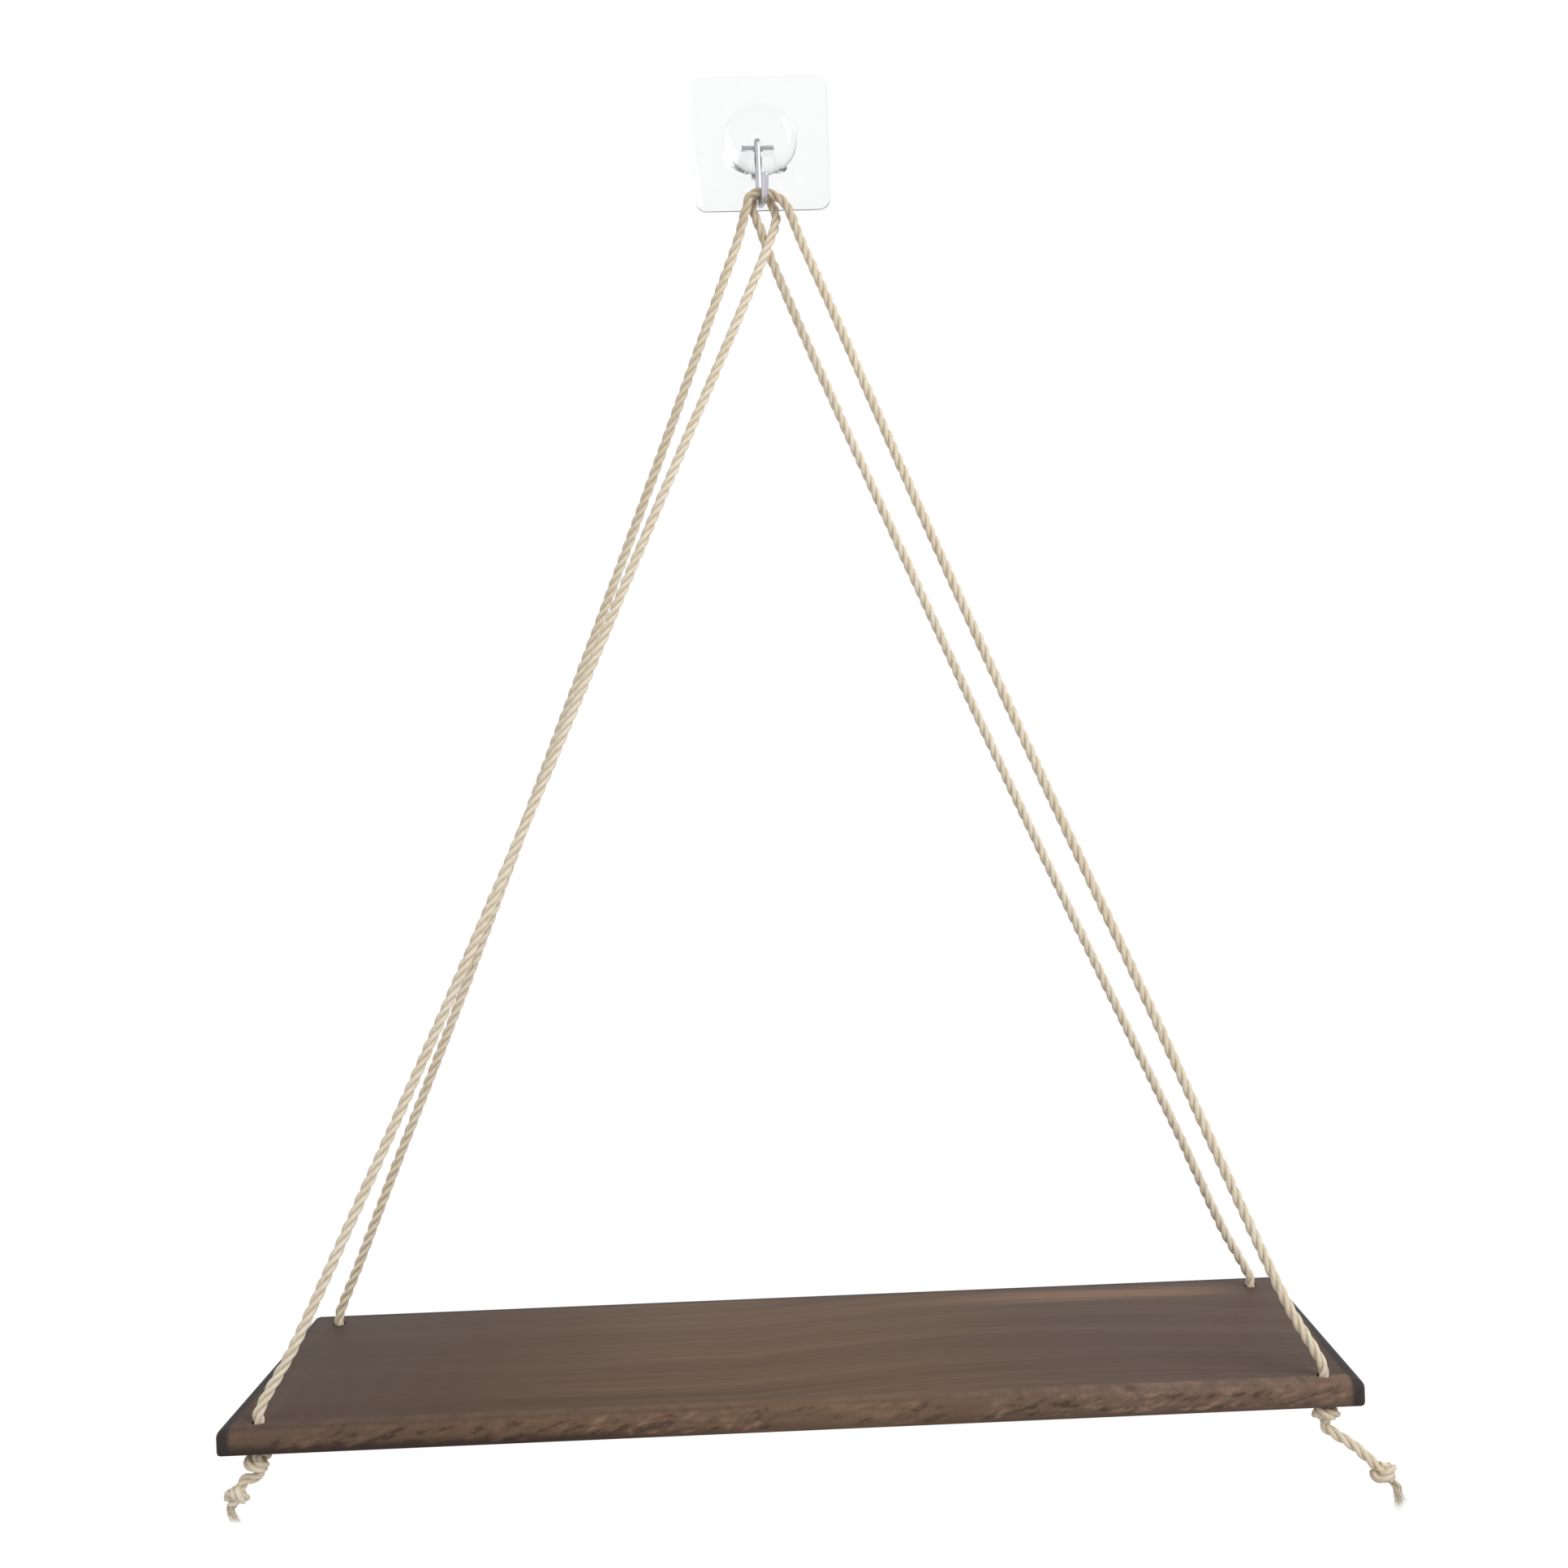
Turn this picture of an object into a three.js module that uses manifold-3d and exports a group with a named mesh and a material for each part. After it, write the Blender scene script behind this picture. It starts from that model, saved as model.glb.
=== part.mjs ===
// A hanging rope shelf: a stained plank on two ropes that hang from a clear stick-on wall hook.
// Lengths are in millimetres. The origin is the middle of the adhesive film's back face, on the wall.
// +X is to the right of someone who faces the wall, +Y goes into the wall and +Z is up.

import * as THREE from "three";
import { mergeVertices } from "three/addons/utils/BufferGeometryUtils.js";
import Module from "manifold-3d";

const wasm = await Module();
wasm.setup();

const quarterTurn = Math.PI / 2;
const halfTurn = Math.PI;
const fullTurn = 2 * Math.PI;

// Clear square plate and the adhesive film behind it
const plateSide = 60;
const plateCornerRadius = 5;
const plateThickness = 0.8;
const filmThickness = 0.5;
const filmInset = 0.5;

// Clear round boss that holds the hook's pin, a little below its middle
const bossRadius = 16.5;
const bossFrontRadius = 10.5;
const bossHeight = 10;
const bossRimHeight = 1.4;
const bossShoulderShare = 0.72;
const pinHeight = 5.6;
const pinDrop = 4.5;
const pinDiameter = 2.5;
const pinLength = 14;

// Steel wire hook: an eye on the pin, a straight shank, a flat saddle and a tip that leans out
const wireDiameter = 3;
const hookDrop = 26.5;
const tipLength = 8.5;
const tipShares = [0.5, 1];
const tipLean = THREE.MathUtils.degToRad(20);
const hookTurn = THREE.MathUtils.degToRad(13);
const hookSwing = THREE.MathUtils.degToRad(60);
const eyeTurn = THREE.MathUtils.degToRad(240);

// Rope, and the gap between pieces that touch or run in one another
const ropeDiameter = 4;
const runningGap = 0.3;
const slotSideGap = 0.5;

// Board, with one hole near each corner
const boardLength = 430;
const boardDepth = 130;
const boardThickness = 10;
const boardDrop = 515;
const boardWallGap = 0.5;
const topEdgeRadius = 3;
const bottomEdgeRadius = 1.6;
const boardCornerRadius = 2;
const holeDiameter = 5;
const holeEndInset = 14;
const holeFrontInset = 7.5;
const holeRearInset = 13;

// Frayed end of a rope: its widest radius, and its outline as shares of its length and radius
const frayRadius = 2.8;
const frayShares = [[1, 0], [0.97, 0.7], [0.82, 1], [0.5, 0.85]];
const frayNeckShare = 0.2;

// How far a tail leaves the stopper knot straight down
const tailStraight = 1;

// How far a cutting body reaches past the piece that it cuts
const overrun = 2;

// Facets
const wireSides = 10;
const ropeSides = 8;
const ropeSteps = 2;
const knotSteps = 1;
const wireSteps = 1;
const eyeSteps = 12;
const bendSteps = 5;
const roundSides = 20;
const bossSides = 40;
const edgeArcSteps = 3;
const cornerArcSteps = 4;

// Places worked out from the sizes above
const wireRadius = wireDiameter / 2;
const ropeRadius = ropeDiameter / 2;
const plateFront = -(filmThickness + plateThickness);
const pinY = plateFront - pinHeight;
const eyeRadius = pinDiameter / 2 + runningGap + wireRadius;
const saddleBendRadius = ropeRadius + runningGap + wireRadius;
const saddleFlat = ropeDiameter + runningGap;
const saddleReach = saddleBendRadius + saddleFlat / 2;
const shankX = -saddleReach * Math.sin(hookTurn);
const shankY = pinY - eyeRadius;
const saddleY = shankY - saddleReach * Math.cos(hookTurn);
const saddle = new THREE.Vector3(0, saddleY, -(pinDrop + hookDrop));
const boardTop = -boardDrop;
const boardBottom = boardTop - boardThickness;
const boardMiddleY = -(boardWallGap + boardDepth / 2);
const holeX = boardLength / 2 - holeEndInset;
const frontHoleY = -(boardWallGap + boardDepth - holeFrontInset);
const rearHoleY = -(boardWallGap + holeRearInset);

// Finishes
const clearPlastic = { color: 0xf4f6f7, roughness: 0.12, metalness: 0, transparent: true, opacity: 0.35 };
const clearFilm = { color: 0xf2f2f0, roughness: 0.4, metalness: 0, transparent: true, opacity: 0.5 };
const steel = { color: 0x9a9da1, roughness: 0.28, metalness: 1 };
const stainedWood = { color: 0x62534a, roughness: 0.62, metalness: 0 };
const naturalRope = { color: 0xd8c4a0, roughness: 0.9, metalness: 0 };

// Ropes go from hole to hole over the saddle. Each list is the rope's own way round the hook wire,
// from the side that leads to its front hole to the side that leads to its rear hole, as right, back
// and up from the middle of the saddle. The first rope's legs cross below the hook.
const crossedBight = [
  [0.3, -4.0, -24.0],
  [2.7, -2.3, -17.5],
  [5.0, -0.2, -11.0],
  [5.8, 1.8, -5.2],
  [4.6, 2.9, -1.4],
  [3.6, 3.0, 1.5],
  [1.8, 2.6, 3.2],
  [-0.5, 2.1, 3.8],
  [-2.8, 1.5, 3.2],
  [-4.4, 1.2, 1.2],
  [-4.5, 1.1, -1.5],
  [-3.3, 1.3, -5.6],
  [-1.2, 1.9, -11.0],
  [0.6, 2.4, -17.0],
  [2.9, 2.6, -23.5],
];
const openBight = [
  [16.2, -5.9, -18.0],
  [14.0, -4.5, -11.5],
  [11.9, -3.2, -5.4],
  [10.0, -2.2, -1.4],
  [7.2, -1.6, 1.5],
  [3.8, -1.5, 3.3],
  [0.5, -2.1, 3.9],
  [-2.5, -2.8, 3.3],
  [-5.6, -3.2, 1.6],
  [-6.2, -3.2, -1.2],
  [-7.6, -3.0, -5.2],
  [-9.4, -2.7, -11.5],
  [-11.5, -2.5, -18.0],
];

// Places up a leg as shares of its run. A leg leaves its hole straight up, and at each of these places
// it hangs in towards the middle by its own sag there.
const legShares = [0.05, 0.14, 0.3, 0.5, 0.75, 0.93];
const mouthRise = 3.2;

// An overhand knot's strands, each point as turn in degrees, distance from the rope's own line and
// depth below the knot's top, the last two in rope diameters: down one side, round, down the other.
const knotStrandShares = [
  [[0, 0.0, 0.0], [0, 0.0, 0.2], [20, 0.2, 0.5], [65, 0.42, 0.95], [100, 0.5, 1.4]],
  [
    [125, 0.68, 1.6],
    [88, 0.88, 1.6],
    [42, 0.92, 1.44],
    [-8, 0.92, 1.28],
    [-58, 0.92, 1.1],
    [-108, 0.92, 0.88],
    [-150, 0.87, 0.62],
    [-178, 0.68, 0.52],
  ],
  [[-135, 0.44, 0.9], [-100, 0.4, 1.4], [-80, 0.2, 1.8], [0, 0.0, 2.1], [0, 0.0, 2.35]],
];
const knotLengthShare = 2.35;
const knotCoreShare = 0.7;
const endKnotShare = 0.85;

// A stopper knot is pressed flat against the board below its topmost turn, and spreads to the sides
const topTurnShare = 0.52;
const stopperPressShare = 0.75;
const stopperSpreadShare = 1.08;

// The corners: each leg's sags, which way each knot is turned in degrees, the tail's way to the end
// knot as right, back and up from the stopper knot's end, how long the frayed end is and how far its
// tip hangs aside.
const corners = {
  front_left: {
    side: -1,
    holeY: frontHoleY,
    sags: [2.4, 3.3, 4.1, 3.6, 1.4, 0.6],
    knotAngle: 200,
    tail: [
      [-0.8, -0.2, -2.1],
      [-2.6, -0.5, -2.8],
      [-4.8, -0.7, -3.1],
      [-6.3, -0.8, -4.0],
      [-6.9, -0.9, -5.1],
    ],
    endAngle: 60,
    frayLength: 5,
    frayBend: [3.6, 0.3],
  },
  front_right: {
    side: 1,
    holeY: frontHoleY,
    sags: [2.5, 2.9, 2.5, 3.2, 2.25, 0.4],
    knotAngle: 20,
    tail: [
      [0.9, -0.1, -2.6],
      [4.6, -0.4, -5.2],
      [9.8, -0.7, -8.7],
      [14.5, -0.9, -12.8],
      [18.9, -1.0, -17.1],
    ],
    endAngle: -40,
    frayLength: 10,
    frayBend: [-4.6, 0.4],
  },
  back_left: {
    side: -1,
    holeY: rearHoleY,
    sags: [0.2, 0.4, 1.6, 1.4, 1.35, 0.3],
    knotAngle: 120,
    tail: [[-0.3, -0.4, -2.6], [-1.6, -1.8, -6.0], [-3.2, -3.8, -9.8]],
    endAngle: 10,
    frayLength: 8,
    frayBend: [0.8, 1.2],
  },
  back_right: {
    side: 1,
    holeY: rearHoleY,
    sags: [1.7, 1.5, 2.7, 3.6, 2.7, 1.3],
    knotAngle: -70,
    tail: [[0.4, -0.4, -2.8], [2.1, -1.8, -6.8], [4.6, -3.6, -11.2]],
    endAngle: 150,
    frayLength: 9,
    frayBend: [-1.6, 1.0],
  },
};

// A rope's or a wire's way, sampled evenly between its points instead of evenly along its length,
// so that its steps are close where its points are.
class Route extends THREE.CatmullRomCurve3 {
  constructor(points) {
    super(points, false, "centripetal");
  }

  getUtoTmapping(share) {
    return share;
  }
}

function solidOf(geometry) {
  const bare = geometry.clone();
  bare.deleteAttribute("normal");
  bare.deleteAttribute("uv");
  const merged = mergeVertices(bare);
  return new wasm.Manifold(
    new wasm.Mesh({
      numProp: 3,
      vertProperties: new Float32Array(merged.attributes.position.array),
      triVerts: new Uint32Array(merged.index.array),
    }),
  );
}

function geometryOf(solid) {
  const mesh = solid.getMesh();
  const geometry = new THREE.BufferGeometry();
  geometry.setAttribute("position", new THREE.BufferAttribute(mesh.vertProperties, mesh.numProp));
  geometry.setIndex(new THREE.BufferAttribute(mesh.triVerts, 1));
  geometry.computeVertexNormals();
  return geometry;
}

function roundOutline(radius, sides) {
  const points = [];
  for (let i = 0; i < sides; i += 1) {
    const angle = (fullTurn * i) / sides;
    points.push(new THREE.Vector2(radius * Math.cos(angle), radius * Math.sin(angle)));
  }
  return new THREE.Shape(points);
}

function tube(points, radius, sides, stepsBetween) {
  return new THREE.ExtrudeGeometry(roundOutline(radius, sides), {
    steps: (points.length - 1) * stepsBetween,
    extrudePath: new Route(points),
  });
}

// A rectangle round the origin whose two upper and two lower corners have their own radii
function easedRectangle(width, height, upperRadius, lowerRadius) {
  const right = width / 2;
  const top = height / 2;
  const shape = new THREE.Shape();
  shape.absarc(-right + lowerRadius, -top + lowerRadius, lowerRadius, halfTurn, 3 * quarterTurn);
  shape.absarc(right - lowerRadius, -top + lowerRadius, lowerRadius, -quarterTurn, 0);
  shape.absarc(right - upperRadius, top - upperRadius, upperRadius, 0, quarterTurn);
  shape.absarc(-right + upperRadius, top - upperRadius, upperRadius, quarterTurn, halfTurn);
  return shape;
}

// A flat piece parallel to the wall, whose back is at y = back
function wallPiece(shape, thickness, back) {
  const geometry = new THREE.ExtrudeGeometry(shape, {
    depth: thickness,
    bevelEnabled: false,
    curveSegments: cornerArcSteps,
  });
  geometry.rotateX(quarterTurn);
  geometry.translate(0, back, 0);
  return geometry;
}

function adhesiveFilm() {
  const side = plateSide - 2 * filmInset;
  const radius = plateCornerRadius - filmInset;
  return wallPiece(easedRectangle(side, side, radius, radius), filmThickness, 0);
}

function hookPlate() {
  const shape = easedRectangle(plateSide, plateSide, plateCornerRadius, plateCornerRadius);
  return wallPiece(shape, plateThickness, -filmThickness);
}

// The space that the eye and the shank sweep between hanging down and the hook's full swing,
// as an outline seen from the side: forward of the pin, and up.
function slotOutline() {
  const eyeClear = eyeRadius + wireRadius + runningGap;
  const shankBack = eyeRadius - wireRadius - runningGap;
  const beyond = bossRadius + overrun;
  const lowAngle = -Math.acos(shankBack / eyeClear);
  const shape = new THREE.Shape();
  shape.absarc(0, 0, eyeClear, lowAngle, hookSwing - fullTurn, true);
  const roofStart = new THREE.Vector2(eyeClear * Math.cos(hookSwing), eyeClear * Math.sin(hookSwing));
  const roofRun = bossHeight / Math.sin(hookSwing);
  shape.lineTo(roofStart.x + roofRun * Math.sin(hookSwing), roofStart.y - roofRun * Math.cos(hookSwing));
  shape.lineTo(roofStart.x + bossHeight, -beyond);
  shape.lineTo(shankBack, -beyond);
  return shape;
}

function bossSlot() {
  const width = wireDiameter + 2 * slotSideGap;
  const geometry = new THREE.ExtrudeGeometry(slotOutline(), {
    depth: width,
    bevelEnabled: false,
    curveSegments: roundSides / 2,
  });
  geometry.translate(0, 0, -width / 2);
  // The outline's forward direction becomes -Y, its up stays up, and its thickness lies along X.
  const place = new THREE.Matrix4().makeBasis(
    new THREE.Vector3(0, -1, 0),
    new THREE.Vector3(0, 0, 1),
    new THREE.Vector3(-1, 0, 0),
  );
  place.setPosition(shankX, pinY, -pinDrop);
  geometry.applyMatrix4(place);
  return geometry;
}

function pinCylinder(radius, length) {
  const geometry = new THREE.CylinderGeometry(radius, radius, length, roundSides);
  geometry.rotateZ(quarterTurn);
  geometry.translate(shankX, pinY, -pinDrop);
  return geometry;
}

function hookBoss() {
  const shoulder = bossRimHeight + bossShoulderShare * (bossHeight - bossRimHeight);
  const profile = [new THREE.Vector2(0, 0), new THREE.Vector2(bossRadius, 0)];
  const side = new THREE.CubicBezierCurve(
    new THREE.Vector2(bossRadius, bossRimHeight),
    new THREE.Vector2(bossRadius, shoulder),
    new THREE.Vector2(bossFrontRadius + (bossRadius - bossFrontRadius) / 2, bossHeight),
    new THREE.Vector2(bossFrontRadius, bossHeight),
  );
  profile.push(...side.getPoints(roundSides / 2));
  profile.push(new THREE.Vector2(0, bossHeight));
  const dome = new THREE.LatheGeometry(profile, bossSides);
  dome.rotateX(halfTurn);
  dome.translate(0, plateFront, 0);
  const seat = pinCylinder(pinDiameter / 2 + runningGap, pinLength + 2 * runningGap);
  return geometryOf(solidOf(dome).subtract(solidOf(bossSlot())).subtract(solidOf(seat)));
}

function pivotPin() {
  return pinCylinder(pinDiameter / 2, pinLength);
}

// The hook's wire, as forward of the pin and up. What lies forward of the shank is turned about
// it by hookTurn, as the hook hangs in the photograph.
function hookPoint(forward, up) {
  const reach = forward - eyeRadius;
  const turn = reach > 0 ? hookTurn : 0;
  const right = reach * Math.sin(turn);
  const out = reach * Math.cos(turn);
  return new THREE.Vector3(shankX + right, shankY - out, up - pinDrop);
}

function arcPoints(forward, up, radius, from, to, steps) {
  const points = [];
  for (let i = 0; i <= steps; i += 1) {
    const angle = from + ((to - from) * i) / steps;
    points.push(hookPoint(forward + radius * Math.cos(angle), up + radius * Math.sin(angle)));
  }
  return points;
}

function wireHook() {
  const bendUp = -hookDrop + saddleBendRadius;
  const rearBend = eyeRadius + saddleBendRadius;
  const frontBend = rearBend + saddleFlat;
  const tipAngle = -tipLean;
  const points = [
    ...arcPoints(0, 0, eyeRadius, eyeTurn, 0, eyeSteps),
    hookPoint(eyeRadius, -eyeRadius),
    hookPoint(eyeRadius, bendUp / 2),
    hookPoint(eyeRadius, bendUp + wireRadius),
    ...arcPoints(rearBend, bendUp, saddleBendRadius, halfTurn, 3 * quarterTurn, bendSteps),
    ...arcPoints(frontBend, bendUp, saddleBendRadius, -quarterTurn, tipAngle, bendSteps),
  ];
  const bendEnd = [
    frontBend + saddleBendRadius * Math.cos(tipAngle),
    bendUp + saddleBendRadius * Math.sin(tipAngle),
  ];
  for (const share of tipShares) {
    const run = share * tipLength;
    points.push(hookPoint(bendEnd[0] + run * Math.sin(tipLean), bendEnd[1] + run * Math.cos(tipLean)));
  }
  return tube(points, wireRadius, wireSides, wireSteps);
}

function holeCentre(corner) {
  return new THREE.Vector2(corner.side * holeX, corner.holeY);
}

function board() {
  const endSection = easedRectangle(boardDepth, boardThickness, topEdgeRadius, bottomEdgeRadius);
  const frontSection = easedRectangle(boardLength, boardThickness, topEdgeRadius, bottomEdgeRadius);
  const plan = easedRectangle(boardLength, boardDepth, boardCornerRadius, boardCornerRadius);

  const along = new THREE.ExtrudeGeometry(endSection, {
    depth: boardLength,
    bevelEnabled: false,
    curveSegments: edgeArcSteps,
  });
  along.translate(0, 0, -boardLength / 2);
  along.rotateX(quarterTurn);
  along.rotateZ(quarterTurn);

  const across = new THREE.ExtrudeGeometry(frontSection, {
    depth: boardDepth,
    bevelEnabled: false,
    curveSegments: edgeArcSteps,
  });
  across.translate(0, 0, -boardDepth / 2);
  across.rotateX(quarterTurn);

  const down = new THREE.ExtrudeGeometry(plan, {
    depth: boardThickness,
    bevelEnabled: false,
    curveSegments: edgeArcSteps,
  });
  down.translate(0, 0, -boardThickness / 2);

  let solid = solidOf(along).intersect(solidOf(across)).intersect(solidOf(down));
  solid = solid.translate([0, boardMiddleY, boardTop - boardThickness / 2]);
  for (const corner of Object.values(corners)) {
    const length = boardThickness + 2 * overrun;
    const hole = new THREE.CylinderGeometry(holeDiameter / 2, holeDiameter / 2, length, roundSides);
    const centre = holeCentre(corner);
    hole.rotateX(quarterTurn);
    hole.translate(centre.x, centre.y, boardTop - boardThickness / 2);
    solid = solid.subtract(solidOf(hole));
  }
  return geometryOf(solid);
}

// One leg of a rope, from the board's underside up to just below its bight
function legPoints(corner, upperEnd) {
  const centre = holeCentre(corner);
  const above = new THREE.Vector3(centre.x, centre.y, boardTop + mouthRise);
  const run = upperEnd.clone().sub(above);
  const points = [
    new THREE.Vector3(centre.x, centre.y, boardBottom),
    new THREE.Vector3(centre.x, centre.y, boardTop),
    above,
  ];
  for (const [i, share] of legShares.entries()) {
    const point = above.clone().addScaledVector(run, share);
    point.x -= corner.side * corner.sags[i];
    points.push(point);
  }
  return points;
}

function ropePoints(bight, frontCorner, rearCorner) {
  const middle = bight.map((offset) => new THREE.Vector3(...offset).add(saddle));
  const first = legPoints(frontCorner, middle[0]);
  const last = legPoints(rearCorner, middle[middle.length - 1]);
  return [...first, ...middle, ...last.reverse()];
}

function rope(points) {
  return tube(points, ropeRadius, ropeSides, ropeSteps);
}

// How deep a place in a knot lies when the knot is pressed to a share of its depth below its topmost turn
function pressedShare(downShare, pressShare) {
  return Math.min(downShare, topTurnShare) + Math.max(downShare - topTurnShare, 0) * pressShare;
}

// An overhand knot that hangs down from the origin, pressed and spread by those shares
function knot(pressShare, spreadShare) {
  const core = new THREE.SphereGeometry(knotCoreShare * ropeDiameter, roundSides / 2, roundSides / 2);
  core.rotateX(quarterTurn);
  core.translate(0, 0, (-pressedShare(knotLengthShare, pressShare) / 2) * ropeDiameter);
  let solid = solidOf(core);
  for (const strand of knotStrandShares) {
    const points = strand.map(([turn, outShare, downShare]) => {
      const angle = THREE.MathUtils.degToRad(turn);
      const out = outShare * spreadShare * ropeDiameter;
      const down = pressedShare(downShare, pressShare) * ropeDiameter;
      return new THREE.Vector3(out * Math.cos(angle), out * Math.sin(angle), -down);
    });
    solid = solid.add(solidOf(tube(points, ropeRadius, ropeSides, knotSteps)));
  }
  return geometryOf(solid);
}

// Turns a piece that hangs down from the origin about its own line, points it along direction
// and moves its top to place.
function hang(geometry, place, direction, angleInDegrees) {
  const down = new THREE.Vector3(0, 0, -1);
  const spin = new THREE.Quaternion().setFromAxisAngle(down, -THREE.MathUtils.degToRad(angleInDegrees));
  const aim = new THREE.Quaternion().setFromUnitVectors(down, direction.clone().normalize());
  geometry.applyQuaternion(spin);
  geometry.applyQuaternion(aim);
  geometry.translate(place.x, place.y, place.z);
  return geometry;
}

// A tuft of loose fibres that hangs down from the origin: it widens from the rope's thickness,
// closes in a blunt end and hangs aside by bend, right and back, at its tip.
function frayedEnd(length, bend) {
  const profile = frayShares.map(([down, out]) => new THREE.Vector2(out * frayRadius, -down * length));
  profile.push(new THREE.Vector2(ropeRadius, -frayNeckShare * length));
  profile.push(new THREE.Vector2(ropeRadius, 0));
  profile.push(new THREE.Vector2(0, 0));
  const geometry = new THREE.LatheGeometry(profile, roundSides / 2);
  geometry.rotateX(quarterTurn);
  const place = geometry.attributes.position;
  for (let i = 0; i < place.count; i += 1) {
    const along = (place.getZ(i) / length) ** 2;
    place.setXY(i, place.getX(i) + along * bend[0], place.getY(i) + along * bend[1]);
  }
  return geometry;
}

function piece(name, geometry, finish) {
  const mesh = new THREE.Mesh(geometry, new THREE.MeshStandardMaterial(finish));
  mesh.name = name;
  return mesh;
}

function addWallHook(group) {
  group.add(piece("adhesive_film", adhesiveFilm(), clearFilm));
  group.add(piece("hook_plate", hookPlate(), clearPlastic));
  group.add(piece("hook_boss", hookBoss(), clearPlastic));
  group.add(piece("pivot_pin", pivotPin(), steel));
  group.add(piece("wire_hook", wireHook(), steel));
}

function addRopes(group) {
  const { front_left, front_right, back_left, back_right } = corners;
  const crossed = ropePoints(crossedBight, front_left, back_right);
  const open = ropePoints(openBight, front_right, back_left);
  group.add(piece("rope_crossed", rope(crossed), naturalRope));
  group.add(piece("rope_open", rope(open), naturalRope));
}

// The stopper knot under the board, the short tail, the knot at its end and the frayed end
function addRopeEnd(group, name, corner) {
  const down = new THREE.Vector3(0, 0, -1);
  const centre = holeCentre(corner);
  const stopperLength = pressedShare(knotLengthShare, stopperPressShare) * ropeDiameter;
  const stopperTop = new THREE.Vector3(centre.x, centre.y, boardBottom - runningGap);
  const stopper = hang(knot(stopperPressShare, stopperSpreadShare), stopperTop, down, corner.knotAngle);
  group.add(piece(`stopper_knot_${name}`, stopper, naturalRope));

  const knotEnd = stopperTop.clone().addScaledVector(down, stopperLength);
  const tailPoints = [
    knotEnd.clone().addScaledVector(down, runningGap),
    knotEnd.clone().addScaledVector(down, runningGap + tailStraight),
    ...corner.tail.map((offset) => new THREE.Vector3(...offset).add(knotEnd)),
  ];
  group.add(piece(`tail_${name}`, rope(tailPoints), naturalRope));

  const tailWay = new Route(tailPoints).getTangent(1);
  const endTop = tailPoints[tailPoints.length - 1].clone().addScaledVector(tailWay, runningGap);
  const endKnotSolid = knot(1, 1).scale(endKnotShare, endKnotShare, endKnotShare);
  const endKnot = hang(endKnotSolid, endTop, tailWay, corner.endAngle);
  group.add(piece(`end_knot_${name}`, endKnot, naturalRope));

  const endKnotLength = endKnotShare * knotLengthShare * ropeDiameter;
  const frayTop = endTop.clone().addScaledVector(tailWay, endKnotLength + runningGap);
  const fray = frayedEnd(corner.frayLength, corner.frayBend);
  group.add(piece(`frayed_end_${name}`, hang(fray, frayTop, tailWay, 0), naturalRope));
}

const shelf = new THREE.Group();
addWallHook(shelf);
shelf.add(piece("board", board(), stainedWood));
addRopes(shelf);
for (const [name, corner] of Object.entries(corners)) {
  addRopeEnd(shelf, name, corner);
}

export default shelf;
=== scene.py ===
import math
import random

import bmesh
import bpy
import numpy as np
from bpy.props import FloatProperty, FloatVectorProperty, IntProperty, PointerProperty
from mathutils import Matrix, Vector


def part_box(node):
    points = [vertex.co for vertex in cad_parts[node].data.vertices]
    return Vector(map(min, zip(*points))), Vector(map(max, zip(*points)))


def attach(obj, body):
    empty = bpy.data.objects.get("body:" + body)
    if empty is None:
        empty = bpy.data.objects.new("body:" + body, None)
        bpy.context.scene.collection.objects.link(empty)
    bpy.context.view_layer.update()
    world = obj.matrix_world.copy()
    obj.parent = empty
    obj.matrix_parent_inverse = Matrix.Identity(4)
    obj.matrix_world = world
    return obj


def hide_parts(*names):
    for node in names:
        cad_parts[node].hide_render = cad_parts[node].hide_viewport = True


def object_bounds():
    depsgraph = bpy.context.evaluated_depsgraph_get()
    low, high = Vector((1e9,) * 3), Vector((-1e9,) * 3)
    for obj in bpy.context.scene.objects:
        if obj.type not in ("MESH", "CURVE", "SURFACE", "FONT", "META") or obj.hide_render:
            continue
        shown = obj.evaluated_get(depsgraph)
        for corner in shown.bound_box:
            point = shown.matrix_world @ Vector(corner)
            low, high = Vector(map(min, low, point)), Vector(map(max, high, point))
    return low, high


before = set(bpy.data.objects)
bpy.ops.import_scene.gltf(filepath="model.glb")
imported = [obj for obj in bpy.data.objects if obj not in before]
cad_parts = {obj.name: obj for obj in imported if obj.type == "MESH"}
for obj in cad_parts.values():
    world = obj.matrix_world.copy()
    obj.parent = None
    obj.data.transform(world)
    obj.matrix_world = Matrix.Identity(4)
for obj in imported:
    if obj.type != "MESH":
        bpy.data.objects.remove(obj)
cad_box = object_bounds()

bl_info = {
    "name": "Hanging rope shelf",
    "version": (1, 0, 0),
    "blender": (4, 5, 0),
    "location": "3D View > Sidebar > Rope shelf",
    "description": "Dresses a plank shelf that hangs on two laid ropes from a clear stick-on wall hook",
    "category": "Object",
}

# Lengths are in metres. The wall is the plane y = 0, +X is to the right of someone who faces it,
# +Y goes into it and +Z is up.
MM = 0.001
BOARD_LOW, BOARD_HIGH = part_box("board")
PLATE_LOW, PLATE_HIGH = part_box("hook_plate")
FILM_LOW, FILM_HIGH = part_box("adhesive_film")
PIN_LOW, PIN_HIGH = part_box("pivot_pin")
BOSS_LOW, BOSS_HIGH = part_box("hook_boss")
DOWN = Vector((0, 0, -1))
OUTWARD = Vector((0, -1, 0))

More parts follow.
